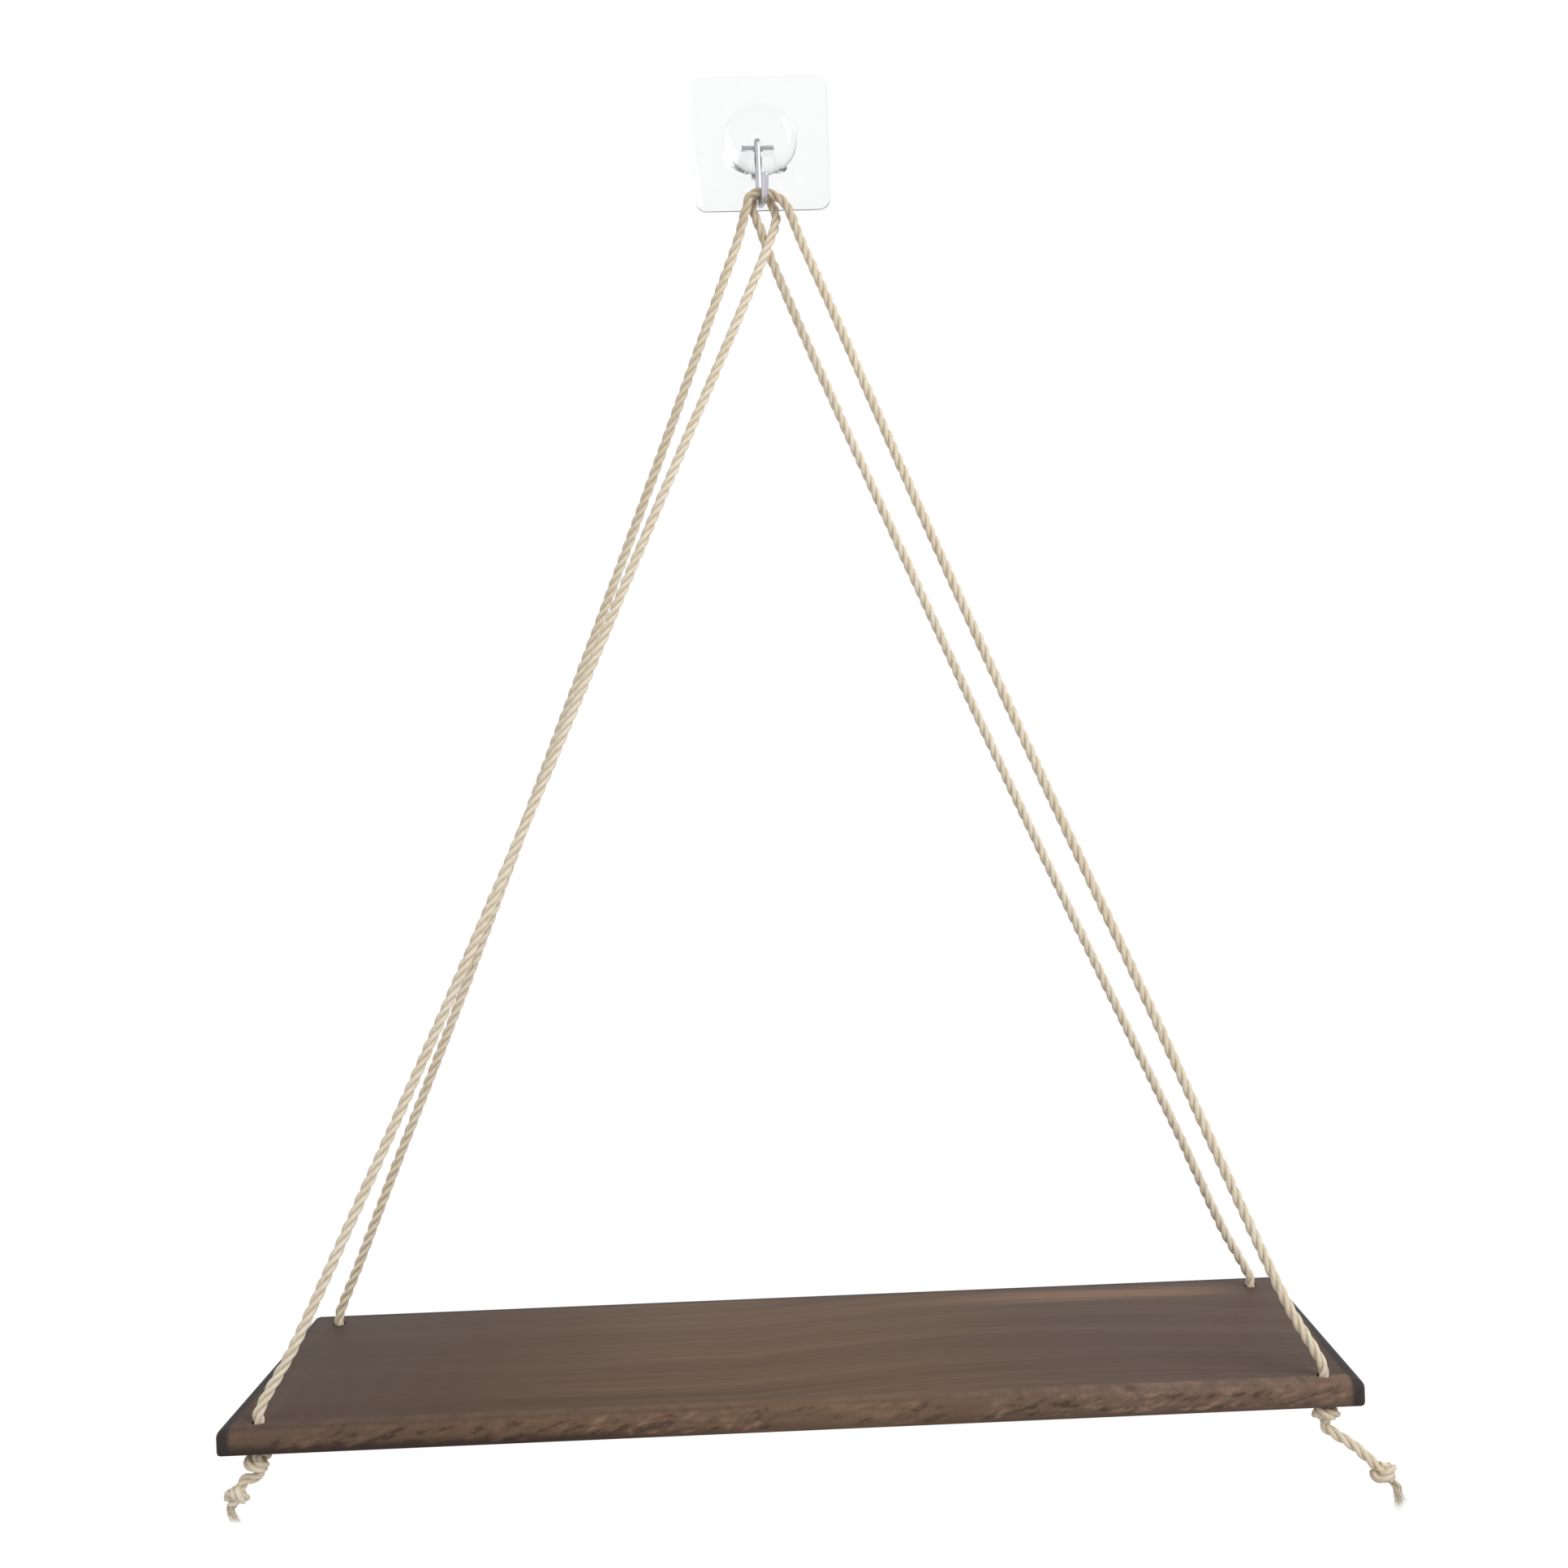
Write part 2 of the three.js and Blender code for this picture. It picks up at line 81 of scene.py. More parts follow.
# The ropes' way over the hook, as right, back and up from the middle of the hook's saddle, from the
# side that leads to the rope's front hole to the side that leads to its rear hole.
CROSSED_BIGHT = [
    (0.0003, -0.0040, -0.0240),
    (0.0027, -0.0023, -0.0175),
    (0.0050, -0.0002, -0.0110),
    (0.0058, 0.0018, -0.0052),
    (0.0046, 0.0029, -0.0014),
    (0.0036, 0.0030, 0.0015),
    (0.0018, 0.0026, 0.0032),
    (-0.0005, 0.0021, 0.0038),
    (-0.0028, 0.0015, 0.0032),
    (-0.0044, 0.0012, 0.0012),
    (-0.0045, 0.0011, -0.0015),
    (-0.0033, 0.0013, -0.0056),
    (-0.0012, 0.0019, -0.0110),
    (0.0006, 0.0024, -0.0170),
    (0.0029, 0.0026, -0.0235),
]
OPEN_BIGHT = [
    (0.0162, -0.0059, -0.0180),
    (0.0140, -0.0045, -0.0115),
    (0.0119, -0.0032, -0.0054),
    (0.0100, -0.0022, -0.0014),
    (0.0072, -0.0016, 0.0015),
    (0.0038, -0.0015, 0.0033),
    (0.0005, -0.0021, 0.0039),
    (-0.0025, -0.0028, 0.0033),
    (-0.0056, -0.0032, 0.0016),
    (-0.0062, -0.0032, -0.0012),
    (-0.0076, -0.0030, -0.0052),
    (-0.0094, -0.0027, -0.0115),
    (-0.0115, -0.0025, -0.0180),
]

# Places up a leg as shares of its run, where it hangs in towards the middle by its sags
LEG_SHARES = (0.05, 0.14, 0.3, 0.5, 0.75, 0.93)
MOUTH_RISE = 3.2 * MM

# An overhand knot's way: turn in degrees, distance from the rope's own line and depth below the
# knot's top, the last two in rope diameters
KNOT_SHARES = [
    (0, 0.0, 0.0), (0, 0.0, 0.2), (20, 0.2, 0.5), (65, 0.42, 0.95), (100, 0.5, 1.4),
    (125, 0.68, 1.6), (88, 0.88, 1.6), (42, 0.92, 1.44), (-8, 0.92, 1.28), (-58, 0.92, 1.1),
    (-108, 0.92, 0.88), (-150, 0.87, 0.62), (-178, 0.68, 0.52),
    (-135, 0.44, 0.9), (-100, 0.4, 1.4), (-80, 0.2, 1.8), (0, 0.0, 2.1), (0, 0.0, 2.35),
]
KNOT_LENGTH_SHARE = 2.35
END_KNOT_SHARE = 0.85

# A stopper knot is pressed flat against the board below its topmost turn, and spreads to the sides.
TOP_TURN_SHARE = 0.52
STOPPER_PRESS_SHARE = 0.75
STOPPER_SPREAD_SHARE = 1.08
PIECE_GAP = 0.3 * MM
TAIL_STRAIGHT = 1 * MM

# The rope swells and thins by a small share over two lengths that never fall into step
SWELL_SHARE = 0.025
SWELL_LENGTHS = (41 * MM, 17.3 * MM)

# Shares of the rope's diameter: where a hair is rooted, and how far on it leaves the yarn
HAIR_ROOT_SHARE = 0.32
HAIR_RISE_SHARE = 0.14

TUFT_STEPS = 8
TUFT_OVERLAP = 0.8 * MM
TUFT_FILL_SHARE = 0.86

# Heights of the cuts in the plank's sides, as shares of its thickness
SIDE_CUT_SHARES = (0.3, 0.45, 0.6)
PIN_CHAMFER = 0.3 * MM
BOSS_LIFT = 0.02 * MM
BOSS_STEPS = 12
AIR_GAP = 0.05 * MM

# The lamps' places from the middle of the shelf, and their width
KEY_OFFSET = Vector((1.05, -0.9, 1.0))
FILL_OFFSET = Vector((-1.2, -0.9, 0.1))
LAMP_SIZE = 1.2
FLOOR_GREY = 0.93

# The corners: the side and row of each hole, how far its leg sags at each of those places, which way
# its knots are turned in degrees, the tail's way from the stopper knot, and how long its tuft is and
# how far the tuft's tip hangs aside
CORNERS = {
    "front_left": {
        "side": -1, "front": True, "knot_angle": 200, "end_angle": 60,
        "sags": (0.0024, 0.0033, 0.0041, 0.0036, 0.0014, 0.0006),
        "tail": [
            (-0.0008, -0.0002, -0.0021), (-0.0026, -0.0005, -0.0028), (-0.0048, -0.0007, -0.0031),
            (-0.0063, -0.0008, -0.0040), (-0.0069, -0.0009, -0.0051),
        ],
        "fray_length": 5 * MM, "fray_bend": (0.0036, 0.0003),
    },
    "front_right": {
        "side": 1, "front": True, "knot_angle": 20, "end_angle": -40,
        "sags": (0.0025, 0.0029, 0.0025, 0.0032, 0.00225, 0.0004),
        "tail": [
            (0.0009, -0.0001, -0.0026), (0.0046, -0.0004, -0.0052), (0.0098, -0.0007, -0.0087),
            (0.0145, -0.0009, -0.0128), (0.0189, -0.0010, -0.0171),
        ],
        "fray_length": 10 * MM, "fray_bend": (-0.0046, 0.0004),
    },
    "back_left": {
        "side": -1, "front": False, "knot_angle": 120, "end_angle": 10,
        "sags": (0.0002, 0.0004, 0.0016, 0.0014, 0.00135, 0.0003),
        "tail": [(-0.0003, -0.0004, -0.0026), (-0.0016, -0.0018, -0.0060), (-0.0032, -0.0038, -0.0098)],
        "fray_length": 8 * MM, "fray_bend": (0.0008, 0.0012),
    },
    "back_right": {
        "side": 1, "front": False, "knot_angle": -70, "end_angle": 150,
        "sags": (0.0017, 0.0015, 0.0027, 0.0036, 0.0027, 0.0013),
        "tail": [(0.0004, -0.0004, -0.0028), (0.0021, -0.0018, -0.0068), (0.0046, -0.0036, -0.0112)],
        "fray_length": 9 * MM, "fray_bend": (-0.0016, 0.0010),
    },
}
ROPE_ENDS = {
    "rope_crossed": ("front_left", CROSSED_BIGHT, "back_right"),
    "rope_open": ("front_right", OPEN_BIGHT, "back_left"),
}


def srgb(red, green, blue):
    """A colour written as 0 to 255 on a screen, as the linear values that a material takes."""
    shares = [value / 255 for value in (red, green, blue)]
    return tuple(s / 12.92 if s < 0.04045 else ((s + 0.055) / 1.055) ** 2.4 for s in shares)


def metres(name, description, default):
    return FloatProperty(name=name, description=description, default=default, min=0, subtype="DISTANCE",
                         unit="LENGTH", precision=5)


def tint(name, description, default):
    return FloatVectorProperty(name=name, description=description, default=default, size=3, min=0, max=1,
                               subtype="COLOR")


def angular(name, description, degrees):
    return FloatProperty(name=name, description=description, default=math.radians(degrees), subtype="ANGLE",
                         unit="ROTATION")


def amount(name, description, default):
    return FloatProperty(name=name, description=description, default=default)


def whole(name, description, default, **limits):
    return IntProperty(name=name, description=description, default=default, **limits)


class BoardLook(bpy.types.PropertyGroup):
    """Sizes and colours of the plank."""

    top_radius: metres("Top edge", "Radius of the eased upper edges", 3 * MM)
    bottom_radius: metres("Bottom edge", "Radius of the lower edges", 1.6 * MM)
    corner_radius: metres("Corners", "Radius of the upright corner edges", 2 * MM)
    hole_diameter: metres("Hole", "Diameter of the rope holes", 5 * MM)
    hole_end_inset: metres("Hole from end", "Hole's middle from the board's end", 14 * MM)
    hole_front_inset: metres("Hole from front", "Front hole's middle from the front edge", 7.5 * MM)
    hole_rear_inset: metres("Hole from rear", "Rear hole's middle from the rear edge", 13 * MM)
    hole_chamfer: metres("Hole rim", "Width of the broken edge round each hole", 0.2 * MM)
    slice_step: metres("Wear spacing", "Spacing of the cuts that carry the worn edge", 2.2 * MM)
    wear_depth: metres("Wear", "How deep the front edge is knocked in", 0.45 * MM)
    dark: tint("Dark grain", "Colour of the darkest streaks", srgb(78, 60, 46))
    middle: tint("Stain", "Colour of most of the board", srgb(98, 76, 58))
    light: tint("Light grain", "Colour of the palest streaks", srgb(116, 94, 74))
    grey: tint("Grey stain", "Colour of the greyer stain towards the ends", srgb(88, 77, 73))
    warm: tint("Warm streak", "Colour of the reddish streak by the rear edge", srgb(143, 112, 91))
    # Colour of the scuffs, also used for the painted highlight along the rounded front edge
    scuff: tint("Scuffs", "Colour of the bare wood in the scuffs", srgb(160, 130, 110))
    # Colour of the painted shade low on the front face, and of the small dark nicks
    gathered: tint("Gathered stain", "Colour of the stain low on the front face", srgb(48, 35, 31))
    ends: tint("End grain", "Colour of the ends and the rear edge", srgb(48, 46, 48))


class HookLook(bpy.types.PropertyGroup):
    """Sizes and colours of the clear wall hook and its wire."""

    plate_corner: metres("Plate corners", "Radius of the plate's corners", 5 * MM)
    plate_edge: metres("Plate edge", "Radius of the plate's polished rim", 0.22 * MM)
    film_inset: metres("Film inset", "How far the film stays inside the plate", 0.5 * MM)
    boss_front_radius: metres("Boss face", "Radius of the boss's flat face", 10.5 * MM)
    boss_rim: metres("Boss rim", "Height of the boss's upright rim", 1.4 * MM)
    slot_gap: metres("Slot gap", "Room beside the wire in the boss's slot", 0.5 * MM)
    pin_gap: metres("Pin gap", "Room round the pin", 0.3 * MM)
    wire_diameter: metres("Wire", "Diameter of the hook's wire", 3 * MM)
    hook_drop: metres("Drop", "From the pin down to the middle of the saddle's wire", 26.5 * MM)
    tip_length: metres("Tip", "Length of the straight tip", 8.5 * MM)
    tip_lean: angular("Tip lean", "How far the tip leans out", 20)
    turn: angular("Turn", "How far the hook's saddle is turned about its shank", 13)
    swing: angular("Swing", "How far the hook swings out from the wall", 60)
    eye_turn: angular("Eye", "How far round the pin the wire's eye goes", 240)
    plastic: tint("Plastic", "Tint of the clear plastic", srgb(254, 255, 255))
    film: tint("Film", "Tint of the adhesive film", srgb(254, 255, 254))
    steel: tint("Steel", "Colour of the wire and the pin", srgb(188, 188, 195))


class RopeLook(bpy.types.PropertyGroup):
    """Sizes and colours of the two laid ropes."""

    diameter: metres("Rope", "Diameter of the rope where its turns press together", 4 * MM)
    full_diameter: metres("Full rope", "Diameter over the strands, with their loose yarn", 4.2 * MM)
    lay_length: metres("Lay", "Length of one full turn of a strand", 17 * MM)
    strands: whole("Strands", "Strands laid together", 3, min=2, max=4)
    strand_radius: metres("Strand", "Radius of one strand", 1.06 * MM)
    ring_step: metres("Ring spacing", "Spacing of the mesh's rings along the rope", 0.75 * MM)
    strand_sides: whole("Sides", "Mesh sides on each strand", 12, min=6)
    fibre_width: metres("Fibre", "Thickness of a loose fibre", 0.11 * MM)
    hair_width: metres("Hair", "Thickness of a stray hair", 0.05 * MM)
    hair_length: metres("Hair length", "Length of the longest stray hairs", 2.2 * MM)
    hairs_per_metre: whole("Hairs", "Stray hairs on a metre of rope", 1500)
    tuft_fibres: whole("Tuft", "Fibres in a frayed end", 150)
    light: tint("Light yarn", "Colour of the pale yarn", srgb(250, 240, 220))
    shade: tint("Dark yarn", "Colour of the darker yarn", srgb(230, 212, 182))
    # Colour of the grooves, also used for painted shade between the strands and near the hook
    groove: tint("Groove", "Colour down between the strands", srgb(176, 150, 118))


class StageLook(bpy.types.PropertyGroup):
    """The camera, the lights and the floor."""

    camera_place: FloatVectorProperty(name="Camera", description="Where the camera stands",
                                      default=(0.0140, -0.7678, -0.2703), subtype="XYZ", unit="LENGTH")
    pitch: angular("Pitch", "How far the camera looks down", 0.75)
    yaw: angular("Yaw", "How far the camera is turned", -1.76)
    roll: angular("Roll", "How far the camera leans", -1.84)
    focal_pixels: amount("Focal length", "Focal length in picture pixels", 2111)
    shift_right: amount("Shift right", "Picture centre's shift in pixels", 100.4)
    shift_down: amount("Shift down", "Picture centre's shift in pixels", -16.9)
    picture: whole("Picture", "The picture's side in pixels", 1932)
    sensor: amount("Sensor", "The camera's sensor width in millimetres", 36)
    floor_drop: metres("Floor", "How far below the hook the floor is", 1.6)
    floor_radius: metres("Floor radius", "Where the floor has faded out", 1.9)
    ambient: amount("Ambient", "Strength of the even light from all sides", 0.5)
    key_power: amount("Key light", "Power of the soft main lamp in watts", 15.4)
    fill_power: amount("Fill light", "Power of the weak second lamp in watts", 2.5)


def settings(name):
    return getattr(bpy.context.scene, name)


# Ways to add nodes to a material


class Value:
    """An output in a node tree, on which sums are written as on numbers."""

    def __init__(self, finish, socket):
        self.finish, self.socket = finish, socket

    def __add__(self, other):
        return self.finish.maths("ADD", self, other)

    def __sub__(self, other):
        return self.finish.maths("SUBTRACT", self, other)

    def __mul__(self, other):
        return self.finish.maths("MULTIPLY", self, other)

    def between(self, low, high):
        """0 below low and 1 above high, or the other way round where high is less than low."""
        values = {"Value": self, "From Min": low, "From Max": high}
        return self.finish.value("ShaderNodeMapRange", values, interpolation_type="SMOOTHSTEP")


class Finish:
    """The node tree of a material or a world, with short ways to add to it."""

    def __init__(self, owner):
        owner.use_nodes = True
        self.owner, self.tree = owner, owner.node_tree
        self.tree.nodes.clear()

    def feed(self, socket, value):
        if isinstance(value, Value):
            self.tree.links.new(value.socket, socket)
        elif socket.type == "RGBA" and len(value) == 3:
            socket.default_value = (*value, 1)
        else:
            socket.default_value = value

    def node(self, kind, values=(), **facts):
        made = self.tree.nodes.new(kind)
        for name, fact in facts.items():
            setattr(made, name, fact)
        for key, value in dict(values).items():
            self.feed(made.inputs[key], value)
        return made

    def value(self, kind, values=(), output=0, **facts):
        return Value(self, self.node(kind, values, **facts).outputs[output])

    def object_place(self):
        return self.value("ShaderNodeTexCoord", output="Object")

    def attribute(self, name, output="Fac"):
        return self.value("ShaderNodeAttribute", output=output, attribute_name=name)

    def split(self, vector):
        return [Value(self, socket) for socket in
                self.node("ShaderNodeSeparateXYZ", {"Vector": vector}).outputs]

    def maths(self, operation, first, second=0.0):
        return self.value("ShaderNodeMath", {0: first, 1: second}, operation=operation)

    def noise(self, place, scale, detail=3.0, roughness=0.55):
        """Noise from 0 to 1 whose features are 1 / scale long in each direction."""
        scaled = self.value("ShaderNodeMapping", {"Vector": place, "Scale": scale})
        values = {"Vector": scaled, "Scale": 1.0, "Detail": detail, "Roughness": roughness}
        return self.value("ShaderNodeTexNoise", values)

    def mix(self, first, second, share):
        """The first colour with that share of the second."""
        return self.value("ShaderNodeMix", {0: share, 6: first, 7: second}, 2, data_type="RGBA")

    def ramp(self, share, stops):
        made = self.node("ShaderNodeValToRGB", {"Fac": share})
        elements = made.color_ramp.elements
        while len(elements) < len(stops):
            elements.new(0.5)
        for element, (place, colour) in zip(elements, stops):
            element.position = place
            element.color = (*colour, 1)
        return Value(self, made.outputs[0])

    def bump(self, height, distance, strength, normal=None):
        values = {"Height": height, "Distance": distance, "Strength": strength}
        if normal is not None:
            values["Normal"] = normal
        return self.value("ShaderNodeBump", values)

    def surface(self, shader):
        self.node("ShaderNodeOutputMaterial", {"Surface": shader})
        return self.owner

    def principled(self, values):
        return self.surface(self.value("ShaderNodeBsdfPrincipled", values))


def stained_grain():
    """Dark stained plank: fine streaks that arch to the right, a warm streak by the rear edge, a front edge
    worn pale and flecked with a painted highlight on its rounding, ends stained dark, and painted shade
    low on the front face."""
    look = settings("board_look")
    finish = Finish(bpy.data.materials.new("stained_grain"))
    place = finish.object_place()
    x, y, z = finish.split(place)
    from_front, from_under = y - BOARD_LOW.y, z - BOARD_LOW.z
    wander = finish.noise(place, (4, 16, 16), detail=2) * 0.012
    from_arch = finish.maths("MAXIMUM", x - 0.1, -0.12)
    drift = finish.value("ShaderNodeCombineXYZ", {"Y": wander + from_arch * from_arch * 1.1})
    grained = finish.value("ShaderNodeVectorMath", {0: place, 1: drift}, operation="ADD")

    bands = finish.noise(grained, (2.4, 70, 70), detail=4)
    streaks = finish.noise(grained, (9, 420, 420), detail=5, roughness=0.62)
    fibres = finish.noise(grained, (30, 2200, 2200))
    patches = finish.noise(place, (9, 16, 16))
    tone = bands * 0.36 + streaks * 0.44 + fibres * 0.2
    colour = finish.ramp(tone, [(0.41, look.dark), (0.5, look.middle), (0.6, look.light)])
    colour = finish.mix(colour, look.warm, patches.between(0.5, 0.75) * 0.12)
    pale_middle = x.between(-0.19, -0.03) * x.between(0.16, 0.02)
    colour = finish.mix(colour, look.light, pale_middle * 0.3)
    colour = finish.mix(colour, look.dark, x.between(-0.02, -0.16) * 0.72)
    colour = finish.mix(colour, look.grey, x.between(0.02, 0.14) * 0.5 + x.between(-0.1, -0.19) * 0.3)

    band = y.between(-26 * MM, -21 * MM) * y.between(-6 * MM, -14 * MM)
    band = band * (x.between(0.04, 0.12) * x.between(0.205, 0.165)) * streaks.between(0.34, 0.56)
    colour = finish.mix(colour, look.warm, band * 0.85)

    # The rounded front edge is worn pale to the right and carries a painted highlight, and painted shade
    # darkens the front face low down
    # Painted highlight: the paler band along the rounded front edge is partly wear and partly painted light
    # on the rounding
    rubbed_and_lit = from_front.between(9 * MM, 6 * MM) * from_front.between(0.2 * MM, 2 * MM)
    rubbed_and_lit = rubbed_and_lit * (x.between(0.02, 0.14) * 0.7 + 0.3)
    rubbed_and_lit = rubbed_and_lit * finish.noise(place, (170, 70, 70)).between(0.25, 0.7)
    colour = finish.mix(colour, look.scuff, rubbed_and_lit * 0.5)
    face = from_front.between(2 * MM, 0.3 * MM)
    colour = finish.mix(colour, look.scuff, (x.between(0.06, 0.17) * 0.1 + 0.2) * face)
    # Painted shade: the front face is darkened towards its bottom, more to the left
    low = from_under.between(5.4 * MM, 1.4 * MM) * face * (x.between(0.0, -0.11) * 0.5 + 0.35)
    colour = finish.mix(colour, look.gathered, low)

    # Small slanted flecks of bare wood and small dark nicks lie in clusters along the front face
    slanted = finish.value("ShaderNodeMapping", {"Vector": place, "Rotation": (0, 0.3, 0)})
    chips = finish.noise(slanted, (130, 210, 430), roughness=0.6)
    clusters = finish.noise(place, (26, 40, 40), detail=2)
    on_face = face * from_under.between(1 * MM, 2.5 * MM)
    along = x.between(-0.16, 0.0) * 0.45 + 0.45
    scuffed = chips.between(0.5, 0.66) * clusters.between(0.44, 0.58) * along * on_face
    bare = finish.mix(look.scuff, look.warm, patches.between(0.52, 0.6))
    colour = finish.mix(colour, bare, scuffed * 0.75)
    nicked = chips.between(0.46, 0.34) * clusters.between(0.4, 0.52) * on_face
    colour = finish.mix(colour, look.gathered, nicked * 0.55)

    # Dark ends, widest at the front corners, and a dark rear edge
    from_middle = finish.maths("ABSOLUTE", x)
    wide = from_middle.between(0.0, 0.1) * from_front.between(110.5 * MM, 0.5 * MM) * (1.8 * MM)
    stained = from_middle + wide + (clusters - 0.5) * (3 * MM)
    side = stained.between(BOARD_HIGH.x - 4.2 * MM, BOARD_HIGH.x - 2.2 * MM)
    dark = finish.maths("MAXIMUM", side, y.between(-7 * MM, -4 * MM) * 0.8)
    colour = finish.mix(colour, look.ends, dark * 0.85)

    normal = finish.bump(streaks, 0.12 * MM, 0.5)
    normal = finish.bump(fibres, 0.05 * MM, 0.5, normal)
    normal = finish.bump(chips * face, 0.3 * MM, 0.5, normal)
    rough = streaks * 0.22 + 0.5 + scuffed * 0.2
    return finish.principled({"Base Color": colour, "Roughness": rough, "Normal": normal, "IOR": 1.45,
                              "Specular IOR Level": 0.2})


def natural_rope():
    """Pale twisted fibre: yarns that run along the rope, grooves between the strands darkened by dirt and
    painted shade, and a stretch darkened by painted shade where it bends over the hook."""
    look = settings("rope_look")
    finish = Finish(bpy.data.materials.new("natural_rope"))
    place = finish.attribute("rope_place", "Vector")
    height = finish.split(finish.object_place())[2]
    yarns = finish.noise(place, (1500, 1500, 70), roughness=0.6)
    fibres = finish.noise(place, (5200, 5200, 240), detail=2)
    slow = finish.noise(place, (90, 90, 22), detail=2)
    tone = yarns * 0.5 + fibres * 0.26 + slow * 0.24 + (finish.attribute("strand_tone") - 0.5) * 0.07
    colour = finish.ramp(tone, [(0.38, look.shade), (0.56, look.light)])
    flecks = finish.noise(place, (900, 900, 150), detail=2).between(0.68, 0.74)
    colour = finish.mix(colour, look.groove, flecks * 0.6)
    # Dirt and painted shade: the colour is darkened down in the grooves between the strands
    groove_dirt_and_shade = finish.maths("POWER", finish.attribute("groove"), 1.6)
    colour = finish.mix(colour, look.groove, groove_dirt_and_shade * 0.5)
    # Painted shade: the rope is darkened from a little below the hook upwards, where it bends over the wire
    colour = finish.mix(colour, look.groove, height.between(-56 * MM, -34 * MM) * 0.32)
    normal = finish.bump(yarns * 0.7 + fibres * 0.3, 0.22 * MM, 0.8)
    return finish.principled({"Base Color": colour, "Roughness": fibres * 0.15 + 0.78, "Normal": normal,
                              "IOR": 1.4, "Specular IOR Level": 0.2, "Sheen Weight": 0.18,
                              "Sheen Roughness": 0.45})


def polished_plastic():
    """Polished clear plastic with faint moulding ripples and wipe marks."""
    finish = Finish(bpy.data.materials.new("polished_plastic"))
    place = finish.object_place()
    ripple = finish.noise(place, (45, 45, 60), detail=2)
    wiped = finish.noise(place, (260, 260, 900)).between(0.5, 0.8)
    return finish.principled({"Base Color": settings("hook_look").plastic, "Roughness": wiped * 0.07 + 0.025,
                              "Normal": finish.bump(ripple, 0.25 * MM, 0.35), "IOR": 1.49,
                              "Transmission Weight": 1.0})


def pressed_film():
    """Slightly milky film with the fine cells that it traps when it is pressed on."""
    finish = Finish(bpy.data.materials.new("pressed_film"))
    place = finish.object_place()
    cells = finish.noise(place, (700, 700, 700), detail=2)
    cloud = finish.noise(place, (70, 70, 70))
    return finish.principled({"Base Color": settings("hook_look").film, "Roughness": cloud * 0.25 + 0.2,
                              "Normal": finish.bump(cells, 0.05 * MM, 0.5), "IOR": 1.42,
                              "Transmission Weight": 1.0})


def drawn_steel():
    """Bright drawn wire with fine die lines along it."""
    steel = settings("hook_look").steel
    finish = Finish(bpy.data.materials.new("drawn_steel"))
    place = finish.object_place()
    lines = finish.noise(place, (3800, 3800, 160))
    marks = finish.noise(place, (600, 600, 600))
    dulled = tuple(0.72 * value for value in steel)
    colour = finish.mix(steel, dulled, marks.between(0.45, 0.75) * 0.25)
    return finish.principled({"Base Color": colour, "Metallic": 1.0, "Roughness": marks * 0.16 + 0.32,
                              "Normal": finish.bump(lines, 0.02 * MM, 0.4)})


# Ways to model and finish a piece


def select_only(piece):
    bpy.ops.object.select_all(action="DESELECT")
    piece.select_set(True)
    bpy.context.view_layer.objects.active = piece


def start_editing(piece, mode="EDGE"):
    """Opens the piece in edit mode with all of it selected."""
    select_only(piece)
    bpy.ops.object.mode_set(mode="EDIT")
    bpy.ops.mesh.select_mode(type=mode)
    bpy.ops.mesh.select_all(action="SELECT")


def stop_editing():
    bpy.ops.object.mode_set(mode="OBJECT")


def choose_edges(piece, test):
    """In edit mode, selects the edges of piece for which test is true."""
    bpy.ops.mesh.select_all(action="DESELECT")
    mesh = bmesh.from_edit_mesh(piece.data)
    for edge in mesh.edges:
        if test(edge):
            edge.select_set(True)
    mesh.select_flush_mode()
    bmesh.update_edit_mesh(piece.data)


def span(edge, axis):
    """How far the edge reaches along an axis: 0 for x, 1 for y and 2 for z."""
    first, second = edge.verts
    return abs(first.co[axis] - second.co[axis])


def round_edges(piece, test, radius, segments):
    """In edit mode, rounds the edges for which test is true."""
    choose_edges(piece, test)
    bpy.ops.mesh.bevel(offset=radius, segments=segments, affect="EDGES")


def push_out(offset):
    bpy.ops.mesh.extrude_region_move(TRANSFORM_OT_translate={"value": tuple(offset)})


def new_primitive(operator, name, **values):
    """Adds a primitive by a mesh operator and returns it, named, with its place and turn in its mesh."""
    bpy.ops.object.select_all(action="DESELECT")
    operator(**values)
    made = bpy.context.object
    made.name = made.data.name = name
    select_only(made)
    bpy.ops.object.transform_apply(location=True, rotation=True, scale=True)
    return made


def modify(piece, kind, **facts):
    """Adds a modifier with those facts and applies it."""
    select_only(piece)
    made = piece.modifiers.new(kind.lower(), kind)
    for name, fact in facts.items():
        setattr(made, name, fact)
    bpy.ops.object.modifier_apply(modifier=made.name)


def cut_away(piece, cutter):
    """Cuts the cutter's space out of the piece and removes the cutter."""
    modify(piece, "BOOLEAN", operation="DIFFERENCE", solver="EXACT", object=cutter)
    bpy.data.objects.remove(cutter)


def outward_normals(piece):
    start_editing(piece, "FACE")
    bpy.ops.mesh.remove_doubles(threshold=1e-6)
    bpy.ops.mesh.normals_make_consistent(inside=False)
    stop_editing()


def smooth(piece, degrees=35):
    outward_normals(piece)
    select_only(piece)
    bpy.ops.object.shade_smooth_by_angle(angle=math.radians(degrees))


def dress(piece, body, make):
    """Gives the piece its body and the material that make gives, which is made once."""
    piece.data.materials.clear()
    piece.data.materials.append(bpy.data.materials.get(make.__name__) or make())
    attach(piece, body)


def hand_over(piece, body, make, node):
    """Dresses the piece and lets it stand for its CAD node."""
    dress(piece, body, make)
    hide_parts(node)


# The ropes' ways


def pin_middle():
    return (PIN_LOW + PIN_HIGH) / 2


def eye_radius(hook):
    """From the pin's middle to the middle of the wire in its eye."""
    return (PIN_HIGH.z - PIN_LOW.z) / 2 + hook.pin_gap + hook.wire_diameter / 2


